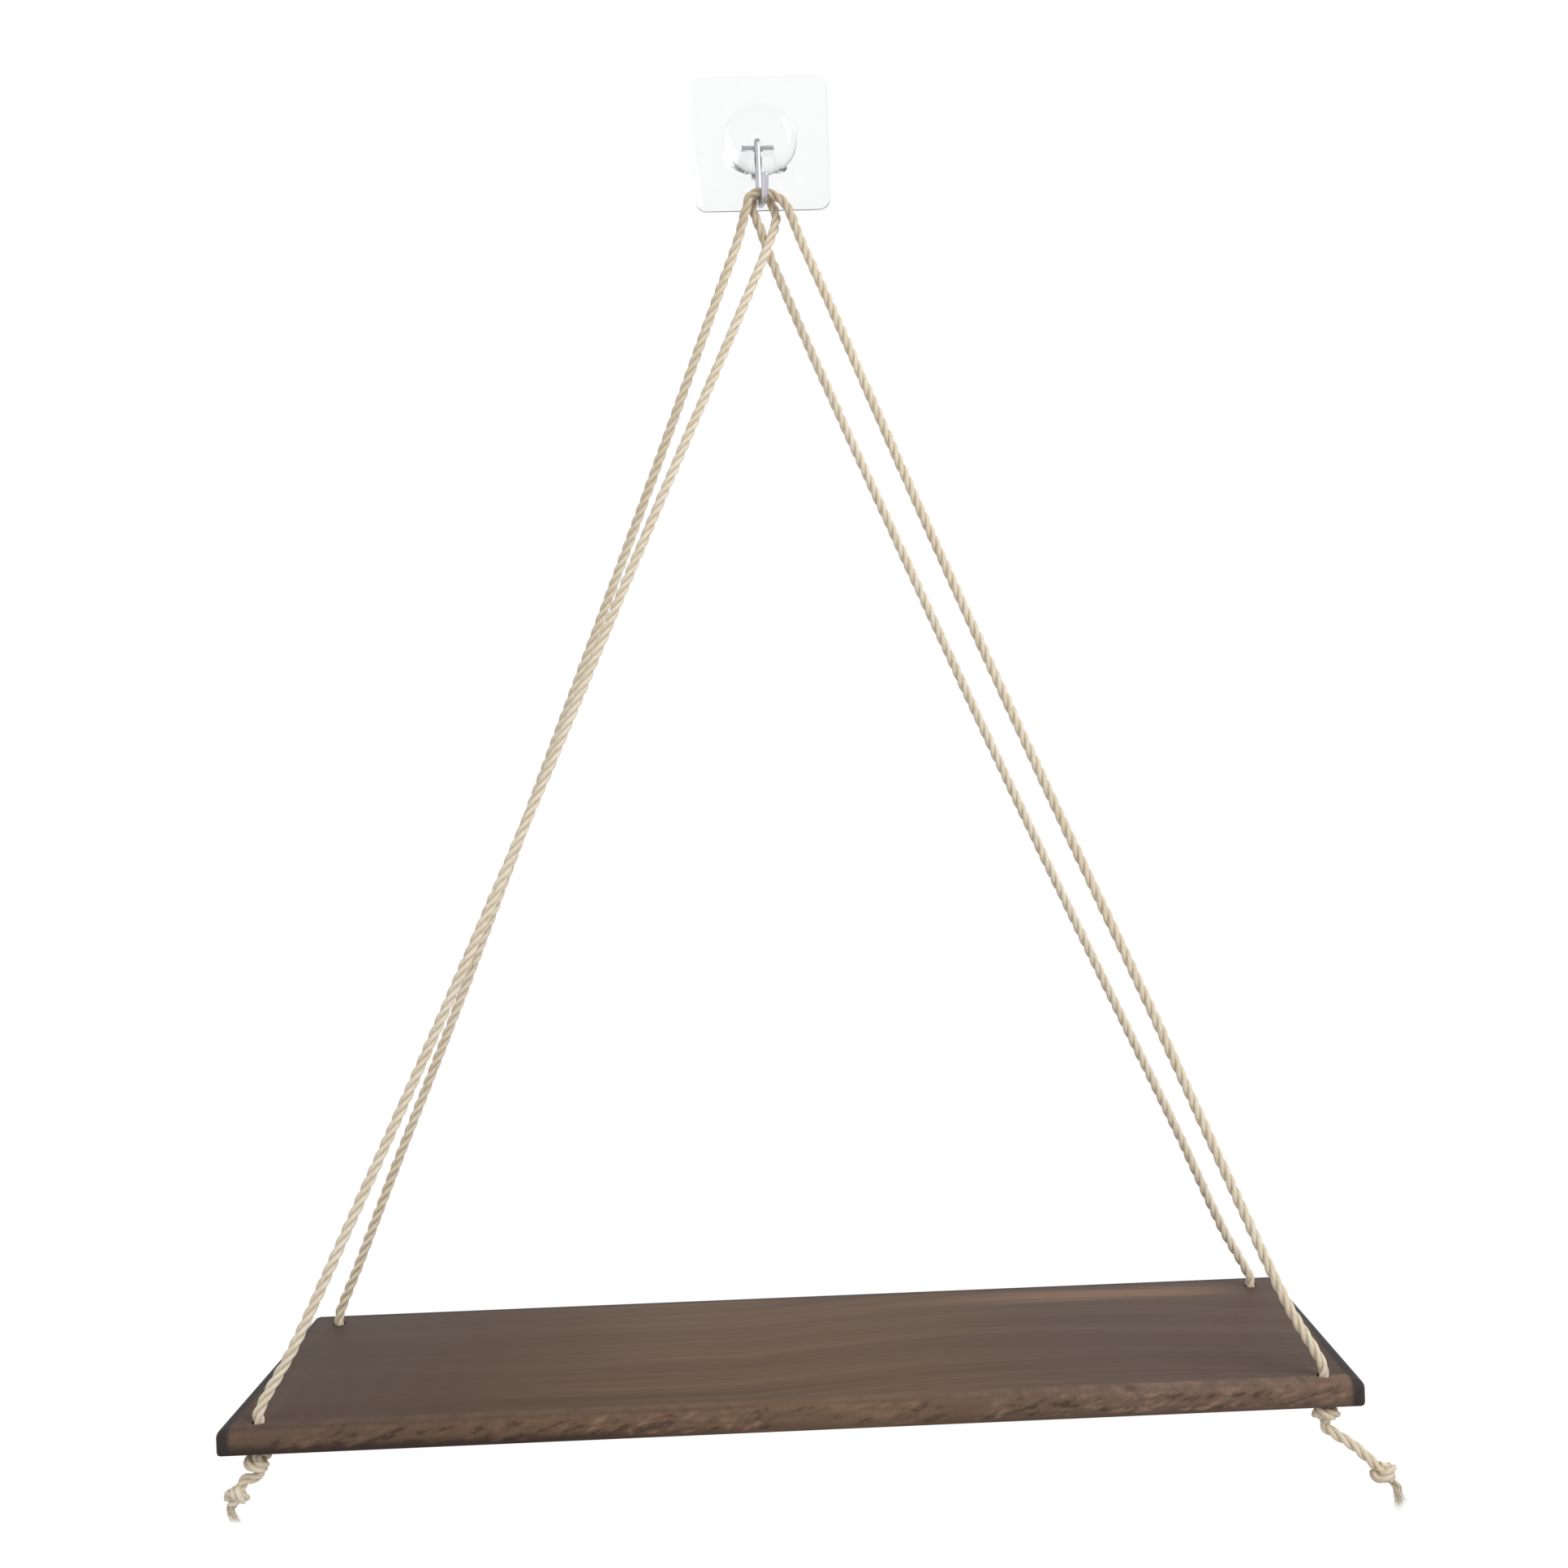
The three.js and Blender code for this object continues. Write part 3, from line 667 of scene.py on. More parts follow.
def saddle_form(hook):
    """The radius of the saddle's two bends and the length of the flat between them."""
    rope = settings("rope_look").diameter
    return rope / 2 + hook.pin_gap + hook.wire_diameter / 2, rope + hook.pin_gap


def saddle_place(hook):
    """Middle of the wire in the hook's saddle."""
    bend, flat = saddle_form(hook)
    pin = pin_middle()
    reach = (bend + flat / 2) * math.cos(hook.turn)
    return Vector((0, pin.y - eye_radius(hook) - reach, pin.z - hook.hook_drop))


def hole_place(board, corner):
    """Middle of a rope hole, at the board's underside."""
    middle = (BOARD_LOW + BOARD_HIGH) / 2
    half_length = (BOARD_HIGH.x - BOARD_LOW.x) / 2
    x = middle.x + corner["side"] * (half_length - board.hole_end_inset)
    y = BOARD_LOW.y + board.hole_front_inset if corner["front"] else BOARD_HIGH.y - board.hole_rear_inset
    return Vector((x, y, BOARD_LOW.z))


def leg_points(board, corner, upper_end):
    """One leg, from the board's underside up to just below its bight."""
    low = hole_place(board, corner)
    mouth = Vector((low.x, low.y, BOARD_HIGH.z))
    above = mouth + Vector((0, 0, MOUTH_RISE))
    points = [low, mouth, above]
    for share, sag in zip(LEG_SHARES, corner["sags"]):
        point = above.lerp(upper_end, share)
        point.x -= corner["side"] * sag
        points.append(point)
    return points


def pressed_share(down, press):
    """How deep a place in a knot lies when the knot is pressed below its topmost turn."""
    return min(down, TOP_TURN_SHARE) + max(down - TOP_TURN_SHARE, 0) * press


def knot_points(top, direction, degrees, size, press=1, spread=1):
    """The way through an overhand knot that hangs from top along direction."""
    spin = Matrix.Rotation(-math.radians(degrees), 3, DOWN)
    aim = DOWN.rotation_difference(direction).to_matrix()
    points = []
    for turn, out, down in KNOT_SHARES:
        angle, out = math.radians(turn), out * spread
        point = Vector((out * math.cos(angle), out * math.sin(angle), -pressed_share(down, press))) * size
        points.append(top + aim @ spin @ point)
    return points


def end_points(board, corner, diameter):
    """The way from a hole's underside to the tuft: stopper knot, tail, end knot, with the count of
    points up to the end of each."""
    top = hole_place(board, corner) + DOWN * PIECE_GAP
    stopper = knot_points(top, DOWN, corner["knot_angle"], diameter, STOPPER_PRESS_SHARE,
                          STOPPER_SPREAD_SHARE)
    knot_end = top + DOWN * pressed_share(KNOT_LENGTH_SHARE, STOPPER_PRESS_SHARE) * diameter
    tail = [knot_end + DOWN * (PIECE_GAP + TAIL_STRAIGHT)]
    tail += [knot_end + Vector(offset) for offset in corner["tail"]]
    way = catmull_rom([tuple(p) for p in [knot_end + DOWN * PIECE_GAP, *tail]], 20)
    direction = Vector(way[-1] - way[-2]).normalized()
    end_top = tail[-1] + direction * PIECE_GAP
    end_knot = knot_points(end_top, direction, corner["end_angle"], END_KNOT_SHARE * diameter)
    marks = [len(stopper), len(stopper) + len(tail), len(stopper) + len(tail) + len(end_knot)]
    return [*stopper, *tail, *end_knot], marks, direction


def catmull_rom(points, steps):
    """A centripetal curve through the points, with that many even steps to each span."""
    p = np.array(points, float)
    p = np.vstack([2 * p[0] - p[1], p, 2 * p[-1] - p[-2]])
    share = (np.arange(steps) / steps)[:, None]
    rows = []
    for i in range(1, len(p) - 2):
        before, start, end, after = p[i - 1], p[i], p[i + 1], p[i + 2]
        d0, d1, d2 = (math.sqrt(max(np.linalg.norm(b - a), 1e-9)) for a, b in
                      ((before, start), (start, end), (end, after)))
        t1 = ((start - before) / d0 - (end - before) / (d0 + d1) + (end - start) / d1) * d1
        t2 = ((end - start) / d1 - (after - start) / (d1 + d2) + (after - end) / d2) * d1
        c2 = 3 * (end - start) - 2 * t1 - t2
        c3 = 2 * (start - end) + t1 + t2
        rows.append(start + t1 * share + c2 * share ** 2 + c3 * share ** 3)
    rows.append(p[-2][None])
    return np.vstack(rows)


class RopeWay:
    """A rope's whole way from tuft to tuft, as even samples with a frame at each that doesn't twist."""

    fine_step = 0.25 * MM
    span_steps = 48

    def __init__(self, points, marks):
        dense = catmull_rom([tuple(p) for p in points], self.span_steps)
        lengths = np.r_[0, np.cumsum(np.linalg.norm(np.diff(dense, axis=0), axis=1))]
        self.marks = [float(lengths[m * self.span_steps]) for m in marks]
        count = int(lengths[-1] / self.fine_step)
        self.along = np.linspace(0, lengths[-1], count + 1)
        self.places = np.stack([np.interp(self.along, lengths, dense[:, k]) for k in range(3)], 1)
        self.ways = np.gradient(self.places, axis=0)
        self.ways /= np.linalg.norm(self.ways, axis=1)[:, None]
        self.first = self.carried_normals()
        self.second = np.cross(self.ways, self.first)

    def carried_normals(self):
        normals = np.zeros_like(self.ways)
        normal = np.cross(self.ways[0], (0.0, 1.0, 0.0))
        for i, way in enumerate(self.ways):
            normal = normal - way * normal.dot(way)
            normal /= np.linalg.norm(normal)
            normals[i] = normal
        return normals

    def index(self, along):
        return int(round(along / self.along[-1] * (len(self.along) - 1)))


def strand_outline(rope):
    """A ring round strands laid together: for each mesh side its angle, radius, depth in the groove
    from 0 to 1, and strand."""
    reach = rope.full_diameter / 2 - rope.strand_radius
    sides = rope.strands * rope.strand_sides
    angles = 2 * math.pi * np.arange(sides) / sides
    lobe = 2 * math.pi / rope.strands
    within = (angles % lobe) - lobe / 2
    across = reach * np.sin(within)
    radii = reach * np.cos(within) + np.sqrt(rope.strand_radius ** 2 - across ** 2)
    grooves = (radii.max() - radii) / (radii.max() - radii.min())
    return angles, radii, grooves, (angles // lobe).astype(int)


class MeshParts:
    """Vertices, faces and per-vertex values gathered for one mesh."""

    def __init__(self):
        self.places, self.faces, self.rope_places, self.grooves, self.tones = [], [], [], [], []
        self.count = 0

    def add(self, places, faces, rope_places, grooves, tones):
        self.faces += [tuple(self.count + i for i in face) for face in faces]
        self.places.append(places)
        self.rope_places.append(rope_places)
        self.grooves.append(grooves)
        self.tones.append(tones)
        self.count += len(places)

    def build(self, name):
        mesh = bpy.data.meshes.new(name)
        mesh.from_pydata(np.vstack(self.places).tolist(), [], self.faces)
        for label, kind, field, rows in (
            ("rope_place", "FLOAT_VECTOR", "vector", np.vstack(self.rope_places)),
            ("groove", "FLOAT", "value", np.concatenate(self.grooves)),
            ("strand_tone", "FLOAT", "value", np.concatenate(self.tones)),
        ):
            attribute = mesh.attributes.new(label, kind, "POINT")
            attribute.data.foreach_set(field, np.asarray(rows, np.float32).ravel())
        mesh.polygons.foreach_set("use_smooth", [True] * len(mesh.polygons))
        mesh.update()
        piece = bpy.data.objects.new(name, mesh)
        bpy.context.scene.collection.objects.link(piece)
        return piece


def tube_faces(rings, sides):
    """Quads between rings of a tube, and fans to a middle vertex at each end, which come last."""
    faces = []
    for i in range(rings - 1):
        low, high = i * sides, (i + 1) * sides
        for k in range(sides):
            after = (k + 1) % sides
            faces.append((low + k, low + after, high + after, high + k))
    first, last = rings * sides, rings * sides + 1
    top = (rings - 1) * sides
    for k in range(sides):
        after = (k + 1) % sides
        faces.append((first, after, k))
        faces.append((last, top + k, top + after))
    return faces


def add_laid_rope(parts, way, start, end, rope, tones):
    """The stretch of laid rope between two places along the way, and its rings' middles."""
    fine = np.arange(way.index(start), way.index(end) + 1)
    rings = max(int(round((end - start) / rope.ring_step)), 2)
    rows = fine[np.round(np.linspace(0, len(fine) - 1, rings + 1)).astype(int)]
    angles, radii, grooves, strands = strand_outline(rope)
    turned = angles[None] + 2 * math.pi * way.along[rows][:, None] / rope.lay_length
    slow, fast = (np.sin(way.along[rows] * 2 * math.pi / length) for length in SWELL_LENGTHS)
    swell = 1 + SWELL_SHARE * slow * fast
    reach = radii[None] * swell[:, None]
    across, up = reach * np.cos(turned), reach * np.sin(turned)
    places = way.places[rows][:, None] + across[..., None] * way.first[rows][:, None]
    places = (places + up[..., None] * way.second[rows][:, None]).reshape(-1, 3)
    along = np.repeat(way.along[rows], len(angles))
    rope_places = np.stack([across.ravel(), up.ravel(), along], 1)
    ends = way.places[rows[[0, -1]]]
    parts.add(
        np.vstack([places, ends]),
        tube_faces(len(rows), len(angles)),
        np.vstack([rope_places, [[0, 0, way.along[rows[0]]], [0, 0, way.along[rows[-1]]]]]),
        np.r_[np.tile(grooves, len(rows)), 1, 1],
        np.r_[np.tile(tones[strands], len(rows)), 0.5, 0.5],
    )
    return way.places[rows]


def add_fibre(parts, points, width, sides, rope_place, tone):
    """A thin tapered fibre through the points."""
    points = np.asarray(points)
    ways = np.gradient(points, axis=0)
    ways /= np.linalg.norm(ways, axis=1)[:, None]
    first = np.cross(ways, (0.37, 0.81, 0.45))
    first /= np.linalg.norm(first, axis=1)[:, None]
    second = np.cross(ways, first)
    shares = np.linspace(0, 1, len(points))
    reach = width / 2 * (1 - 0.7 * shares ** 2)
    angles = 2 * math.pi * np.arange(sides) / sides
    ring = first[:, None] * np.cos(angles)[None, :, None] + second[:, None] * np.sin(angles)[None, :, None]
    places = (points[:, None] + reach[:, None, None] * ring).reshape(-1, 3)
    places = np.vstack([places, points[[0, -1]]])
    drift = np.c_[np.zeros((len(places), 2)), np.linspace(0, 10 * MM, len(places))]
    rope_places = np.asarray(rope_place)[None] + drift
    parts.add(places, tube_faces(len(points), sides), rope_places, np.zeros(len(places)),
              np.full(len(places), tone))


def add_hairs(parts, way, start, end, rope, draw):
    """Stray hairs that stand off the rope between two places along the way."""
    for _ in range(int((end - start) * rope.hairs_per_metre)):
        i = way.index(draw.uniform(start, end))
        angle = draw.uniform(0, 2 * math.pi)
        out = way.first[i] * math.cos(angle) + way.second[i] * math.sin(angle)
        side = way.first[i] * -math.sin(angle) + way.second[i] * math.cos(angle)
        length = rope.hair_length * draw.uniform(0.25, 1) ** 1.5
        lean, curl = draw.uniform(-1.3, 1.3), draw.uniform(-0.9, 0.9)
        root = way.places[i] + out * HAIR_ROOT_SHARE * rope.diameter
        points = []
        for share in (0, 0.4, 0.7, 1):
            run = length * share
            rise = out * (HAIR_RISE_SHARE * rope.diameter + run * 0.55 * (1 - 0.45 * share))
            points.append(root + rise + way.ways[i] * run * lean + side * run * curl * share)
        points[0] = root
        radius = rope.diameter / 2
        place = (math.cos(angle) * radius, math.sin(angle) * radius, way.along[i])
        add_fibre(parts, points, rope.hair_width, 3, place, draw.uniform(0.3, 1))


def add_tuft(parts, corner, place, direction, rope, draw):
    """The frayed end: the strands open out into fibres that part, curl and hang aside."""
    length = corner["fray_length"]
    aim = DOWN.rotation_difference(direction).to_matrix()
    aside = aim @ Vector((*corner["fray_bend"], 0))
    right = (aim @ Vector((1, 0, 0))).normalized()
    back = (aim @ Vector((0, 1, 0))).normalized()
    for n in range(rope.tuft_fibres):
        centre = 2 * math.pi / rope.strands * (n % rope.strands) + 0.6
        spread = draw.uniform(0, 2 * math.pi)
        ring = math.sqrt(draw.random())
        reach = rope.diameter / 2 - rope.strand_radius
        off = TUFT_FILL_SHARE * rope.strand_radius * ring
        x = reach * math.cos(centre) + off * math.cos(spread)
        y = reach * math.sin(centre) + off * math.sin(spread)
        own = length * draw.uniform(0.8, 1.03) - 0.5 * MM * ring
        flare = draw.uniform(0.0, 0.55) + 0.35 * ring
        curl_x, curl_y = draw.uniform(-0.6, 0.6), draw.uniform(-0.6, 0.6)
        points = []
        for step in range(TUFT_STEPS + 1):
            share = step / TUFT_STEPS
            angle = 2 * math.pi * own * share / rope.lay_length
            open_out = 1 - 0.12 * math.sin(math.pi * min(2 * share, 1)) + flare * share ** 3
            px = (x * math.cos(angle) - y * math.sin(angle)) * open_out + curl_x * MM * share ** 3
            py = (x * math.sin(angle) + y * math.cos(angle)) * open_out + curl_y * MM * share ** 3
            down = (own + TUFT_OVERLAP) * share - TUFT_OVERLAP
            points.append(place + right * px + back * py + direction * down + aside * share ** 2)
        thick = rope.fibre_width * draw.uniform(0.7, 1.5)
        add_fibre(parts, [tuple(p) for p in points], thick, 4, (x, y, 0.01 * n), draw.uniform(0, 1))


class RopeJob:
    """One rope: its way from tuft to tuft and the pieces that it is made into."""

    def __init__(self, name):
        board, self.rope = settings("board_look"), settings("rope_look")
        front, bight, rear = ROPE_ENDS[name]
        self.corners = (front, rear)
        saddle = saddle_place(settings("hook_look"))
        middle = [saddle + Vector(offset) for offset in bight]
        front_leg = leg_points(board, CORNERS[front], middle[0])
        rear_leg = leg_points(board, CORNERS[rear], middle[-1])
        run = [*front_leg, *middle, *reversed(rear_leg)]
        front_end, front_marks, front_way = end_points(board, CORNERS[front], self.rope.diameter)
        rear_end, rear_marks, rear_way = end_points(board, CORNERS[rear], self.rope.diameter)
        points = [*reversed(front_end), *run, *rear_end]
        start = len(front_end)
        marks = [start - m for m in reversed(front_marks)] + [start, start + len(run) - 1]
        marks += [start + len(run) - 1 + m for m in rear_marks]
        self.way = RopeWay(points, marks)
        self.tuft_ways = {front: (front_end[-1], front_way), rear: (rear_end[-1], rear_way)}
        self.draw = random.Random(name)
        self.tones = np.array([self.draw.random() for _ in range(self.rope.strands)])

    def stretch(self, name, start, end, hairs):
        parts = MeshParts()
        middles = add_laid_rope(parts, self.way, start, end, self.rope, self.tones)
        if hairs:
            add_hairs(parts, self.way, start, end, self.rope, self.draw)
        return parts.build(name), middles

    def tuft(self, name, corner):
        parts = MeshParts()
        place, direction = self.tuft_ways[corner]
        add_tuft(parts, CORNERS[corner], place, direction, self.rope, self.draw)
        return parts.build(name)


def make_rope(name):
    """A rope with its knots, tails and tufts, each a piece that stands for its CAD node."""
    job = RopeJob(name)
    m = job.way.marks
    front, rear = job.corners
    stretches = [
        (f"end_knot_{front}", m[0], m[1]),
        (f"tail_{front}", m[1], m[2]),
        (f"stopper_knot_{front}", m[2], m[3]),
        (f"stopper_knot_{rear}", m[4], m[5]),
        (f"tail_{rear}", m[5], m[6]),
        (f"end_knot_{rear}", m[6], m[7]),
    ]
    for node, start, end in stretches:
        piece, _ = job.stretch(f"laid_{node}", start, end, hairs=True)
        hand_over(piece, "shelf", natural_rope, node)
    for corner in job.corners:
        piece = job.tuft(f"tuft_{corner}", corner)
        hand_over(piece, "shelf", natural_rope, f"frayed_end_{corner}")

    run, middles = job.stretch(f"laid_{name}", m[3], m[4], hairs=False)
    hand_over(run, "shelf", natural_rope, name)
    parts = MeshParts()
    add_hairs(parts, job.way, m[3], m[4], job.rope, job.draw)
    hairs = parts.build(f"stray_hairs_{name}")
    dress(hairs, "shelf", natural_rope)


class SHELF_OT_ropes(bpy.types.Operator):
    """Lay both ropes from tuft to tuft, with their knots."""

    bl_idname = "rope_shelf.ropes"
    bl_label = "Lay the ropes"

    def execute(self, context):
        for name in ROPE_ENDS:
            make_rope(name)
        return {"FINISHED"}


# The plank


def hole_cutter(board, corner, name):
    """A plug that cuts one rope hole and breaks the edges at both of its mouths."""
    middle = hole_place(board, corner)
    radius, flare = board.hole_diameter / 2, board.hole_chamfer
    wide = (radius + 2 * flare) / radius
    cutter = new_primitive(bpy.ops.mesh.primitive_circle_add, name, vertices=40, radius=radius + 2 * flare,
                           fill_type="NGON", location=(middle.x, middle.y, BOARD_LOW.z - flare))
    start_editing(cutter, "FACE")
    thickness = BOARD_HIGH.z - BOARD_LOW.z
    for rise, scale in ((2 * flare, 1 / wide), (thickness - 2 * flare, 1), (2 * flare, wide)):
        push_out((0, 0, rise))
        bpy.ops.transform.resize(value=(scale, scale, 1), center_override=tuple(middle))
    stop_editing()
    outward_normals(cutter)
    return cutter


def make_board():
    board = settings("board_look")
    size = BOARD_HIGH - BOARD_LOW
    plank = new_primitive(bpy.ops.mesh.primitive_cube_add, "stained_plank", size=1,
                          location=(BOARD_LOW + BOARD_HIGH) / 2, scale=size)

    def level(edge, height):
        return all(abs(v.co.z - height) < size.z / 4 for v in edge.verts)

    start_editing(plank)
    for test, radius in (
        (lambda edge: level(edge, BOARD_HIGH.z), board.top_radius),
        (lambda edge: level(edge, BOARD_LOW.z), board.bottom_radius),
        (lambda edge: span(edge, 2) > size.z / 2, board.corner_radius),
    ):
        choose_edges(plank, test)
        bpy.ops.transform.edge_bevelweight(value=radius / board.top_radius)
    stop_editing()
    modify(plank, "BEVEL", limit_method="WEIGHT", width=board.top_radius, segments=6)

    start_editing(plank)
    choose_edges(plank, lambda edge: span(edge, 0) > size.x / 2)
    bpy.ops.mesh.subdivide(number_cuts=int(size.x / board.slice_step) // 2)
    choose_edges(plank, lambda edge: span(edge, 0) > board.slice_step)
    bpy.ops.mesh.subdivide(number_cuts=1)
    stop_editing()
    for share in SIDE_CUT_SHARES:
        start_editing(plank)
        bpy.ops.mesh.bisect(plane_co=(0, 0, BOARD_LOW.z + share * size.z), plane_no=(0, 0, 1))
        stop_editing()
    wear_front_edge(plank, board)
    for name, corner in CORNERS.items():
        cut_away(plank, hole_cutter(board, corner, f"cutter_{name}"))
    smooth(plank)
    hand_over(plank, "shelf", stained_grain, "board")


def wear_front_edge(plank, board):
    """Knocks the upper front edge in here and there, and fades the wear out towards both ends."""
    clouds = bpy.data.textures.new("knocks", "CLOUDS")
    clouds.noise_scale = 5 * MM
    clouds.noise_depth = 3
    fade = 6 * MM
    group = plank.vertex_groups.new(name="worn")
    for vertex in plank.data.vertices:
        place = vertex.co
        front = 1 - min(abs(place.y - BOARD_LOW.y) / (1.6 * board.top_radius), 1)
        rise = min(max((place.z - BOARD_LOW.z) / (0.4 * (BOARD_HIGH.z - BOARD_LOW.z)), 0), 1)
        inside = min((place.x - BOARD_LOW.x) / fade, (BOARD_HIGH.x - place.x) / fade, 1)
        group.add([vertex.index], front * rise * max(inside, 0), "REPLACE")
    modify(plank, "DISPLACE", texture=clouds, texture_coords="LOCAL", vertex_group="worn", mid_level=0.28,
           strength=-2 * board.wear_depth)


# The wall hook


def rounded_plate(name, low, high, corner, rim):
    """A flat square plate with round corners and a softened rim."""
    plate = new_primitive(bpy.ops.mesh.primitive_cube_add, name, size=1, location=(low + high) / 2,
                          scale=high - low)
    half = (high.y - low.y) / 2
    start_editing(plate)
    round_edges(plate, lambda edge: span(edge, 1) > half, corner, 10)
    round_edges(plate, lambda edge: span(edge, 1) < half, rim, 3)
    stop_editing()
    smooth(plate)
    return plate


def make_plate_and_film():
    hook = settings("hook_look")
    plate = rounded_plate("clear_plate", PLATE_LOW, PLATE_HIGH, hook.plate_corner, hook.plate_edge)
    hand_over(plate, "wall_mount", polished_plastic, "hook_plate")
    film_low = Vector((FILM_LOW.x, PLATE_HIGH.y + AIR_GAP, FILM_LOW.z))
    film = rounded_plate("clear_film", film_low, FILM_HIGH, hook.plate_corner - hook.film_inset, AIR_GAP)
    hand_over(film, "wall_mount", pressed_film, "adhesive_film")


def boss_profile(hook):
    """The boss's radius and height up its side, rim first, on one cubic curve."""
    radius = (BOSS_HIGH.x - BOSS_LOW.x) / 2
    height = BOSS_HIGH.y - BOSS_LOW.y
    shoulder = hook.boss_rim + 0.72 * (height - hook.boss_rim)
    control = [(radius, hook.boss_rim), (radius, shoulder),
               ((radius + hook.boss_front_radius) / 2, height), (hook.boss_front_radius, height)]
    points = []
    for n in range(BOSS_STEPS + 1):
        t = n / BOSS_STEPS
        shares = ((1 - t) ** 3, 3 * t * (1 - t) ** 2, 3 * t * t * (1 - t), t ** 3)
        points.append(tuple(sum(s * c[k] for s, c in zip(shares, control)) for k in (0, 1)))
    return points


def across_cylinder(name, radius, length, vertices):
    """A cylinder that lies across the wall along the pin's line."""
    return new_primitive(bpy.ops.mesh.primitive_cylinder_add, name, vertices=vertices, location=pin_middle(),
                         radius=radius, rotation=(0, math.pi / 2, 0), depth=length)


def make_boss():
    hook = settings("hook_look")
    profile = boss_profile(hook)
    foot = BOSS_HIGH.y - BOSS_LIFT
    boss = new_primitive(bpy.ops.mesh.primitive_circle_add, "clear_boss", vertices=96, radius=profile[0][0],
                         fill_type="NGON", location=(0, foot, 0), rotation=(math.pi / 2, 0, 0))
    start_editing(boss, "FACE")
    reached, radius = BOSS_LIFT, profile[0][0]
    for wide, high in profile:
        push_out((0, reached - high, 0))
        scale = wide / radius
        bpy.ops.transform.resize(value=(scale, 1, scale), center_override=(0, foot, 0))
        reached, radius = high, wide
    stop_editing()
    outward_normals(boss)

    width = hook.wire_diameter + 2 * hook.slot_gap
    swept = eye_radius(hook) + hook.wire_diameter / 2 + hook.pin_gap
    size = PIN_HIGH - PIN_LOW
    cut_away(boss, across_cylinder("pin_seat", size.z / 2 + hook.pin_gap, size.x + 2 * hook.pin_gap, 40))
    cut_away(boss, across_cylinder("eye_slot", swept, width, 64))
    cut_away(boss, swing_slot(hook, width, swept))
    smooth(boss)
    hand_over(boss, "wall_mount", polished_plastic, "hook_boss")


def swing_slot(hook, width, swept):
    """The space that the shank needs from where it hangs to where it is swung out."""
    pin = pin_middle()
    back = pin.y - (eye_radius(hook) - hook.wire_diameter / 2 - hook.pin_gap)
    reach = 4 * swept
    slot = new_primitive(bpy.ops.mesh.primitive_cube_add, "swing_slot", size=1,
                         location=(pin.x, back - reach / 2, pin.z), scale=(width * 0.999, reach, 2 * reach))
    start_editing(slot)
    out = Vector((0, -math.cos(hook.swing), math.sin(hook.swing)))
    bpy.ops.mesh.bisect(plane_co=tuple(pin + out * swept), plane_no=tuple(out), clear_outer=True,
                        use_fill=True)
    stop_editing()
    outward_normals(slot)
    return slot


def make_pin():
    size = PIN_HIGH - PIN_LOW
    pin = across_cylinder("steel_pin", size.z / 2, size.x, 40)
    start_editing(pin)
    round_edges(pin, lambda edge: span(edge, 0) < size.x / 2, PIN_CHAMFER, 3)
    stop_editing()
    smooth(pin)
    hand_over(pin, "wall_mount", drawn_steel, "pivot_pin")


def make_wire_hook():
    """The wire: an eye round the pin, the shank, the turned saddle and the tip that leans out."""
    hook = settings("hook_look")
    pin, wire, eye = pin_middle(), hook.wire_diameter / 2, eye_radius(hook)
    bend, flat = saddle_form(hook)
    start = pin + Vector((0, -math.cos(hook.eye_turn), math.sin(hook.eye_turn))) * eye
    piece = new_primitive(bpy.ops.mesh.primitive_circle_add, "bent_wire_hook", vertices=28, radius=wire,
                          fill_type="NOTHING", location=start, rotation=(-hook.eye_turn, 0, 0))
    start_editing(piece)
    forward = Vector((math.sin(hook.turn), -math.cos(hook.turn), 0))
    shank = DOWN * (hook.hook_drop - bend)
    shank_foot = pin + OUTWARD * eye + shank
    axis = tuple(forward.cross(DOWN))
    bpy.ops.mesh.spin(steps=28, angle=-hook.eye_turn, center=tuple(pin), axis=(1, 0, 0))
    push_out(shank)
    bpy.ops.mesh.spin(steps=10, angle=math.pi / 2, center=tuple(shank_foot + forward * bend), axis=axis)
    push_out(forward * flat)
    bpy.ops.mesh.spin(steps=10, angle=math.pi / 2 - hook.tip_lean,
                      center=tuple(shank_foot + forward * (bend + flat)), axis=axis)
    push_out((forward * math.sin(hook.tip_lean) - DOWN * math.cos(hook.tip_lean)) * hook.tip_length)
    bpy.ops.mesh.select_all(action="SELECT")
    bpy.ops.mesh.fill_holes(sides=0)
    round_edges(piece, lambda edge: any(len(face.verts) > 4 for face in edge.link_faces), 0.6 * wire, 4)
    stop_editing()
    smooth(piece, 40)
    hand_over(piece, "hook", drawn_steel, "wire_hook")


class SHELF_OT_board(bpy.types.Operator):
    """Saw, ease, drill and stain the plank."""

    bl_idname = "rope_shelf.board"
    bl_label = "Make the plank"

    def execute(self, context):
        make_board()
        return {"FINISHED"}


class SHELF_OT_wall_hook(bpy.types.Operator):
    """Mould the clear plate, film and boss, and set the pin in."""

    bl_idname = "rope_shelf.wall_hook"
    bl_label = "Make the wall hook"

    def execute(self, context):
        make_plate_and_film()
        make_boss()
        make_pin()
        return {"FINISHED"}


class SHELF_OT_wire_hook(bpy.types.Operator):
    """Bend the wire hook."""

    bl_idname = "rope_shelf.wire_hook"
    bl_label = "Bend the wire hook"

    def execute(self, context):
        make_wire_hook()
        return {"FINISHED"}


class SHELF_OT_stage(bpy.types.Operator):
    """Set the camera at the photograph's place, with soft lamps and a pale floor."""

    bl_idname = "rope_shelf.stage"
    bl_label = "Set the stage"

    def execute(self, context):
        look = settings("stage_look")
        add_camera(look)
        add_lamp("key_lamp", KEY_OFFSET, look.key_power)
        add_lamp("fill_lamp", FILL_OFFSET, look.fill_power)
        add_white_world(look)
        add_floor(look)
        context.scene.view_settings.view_transform = "Standard"
        return {"FINISHED"}


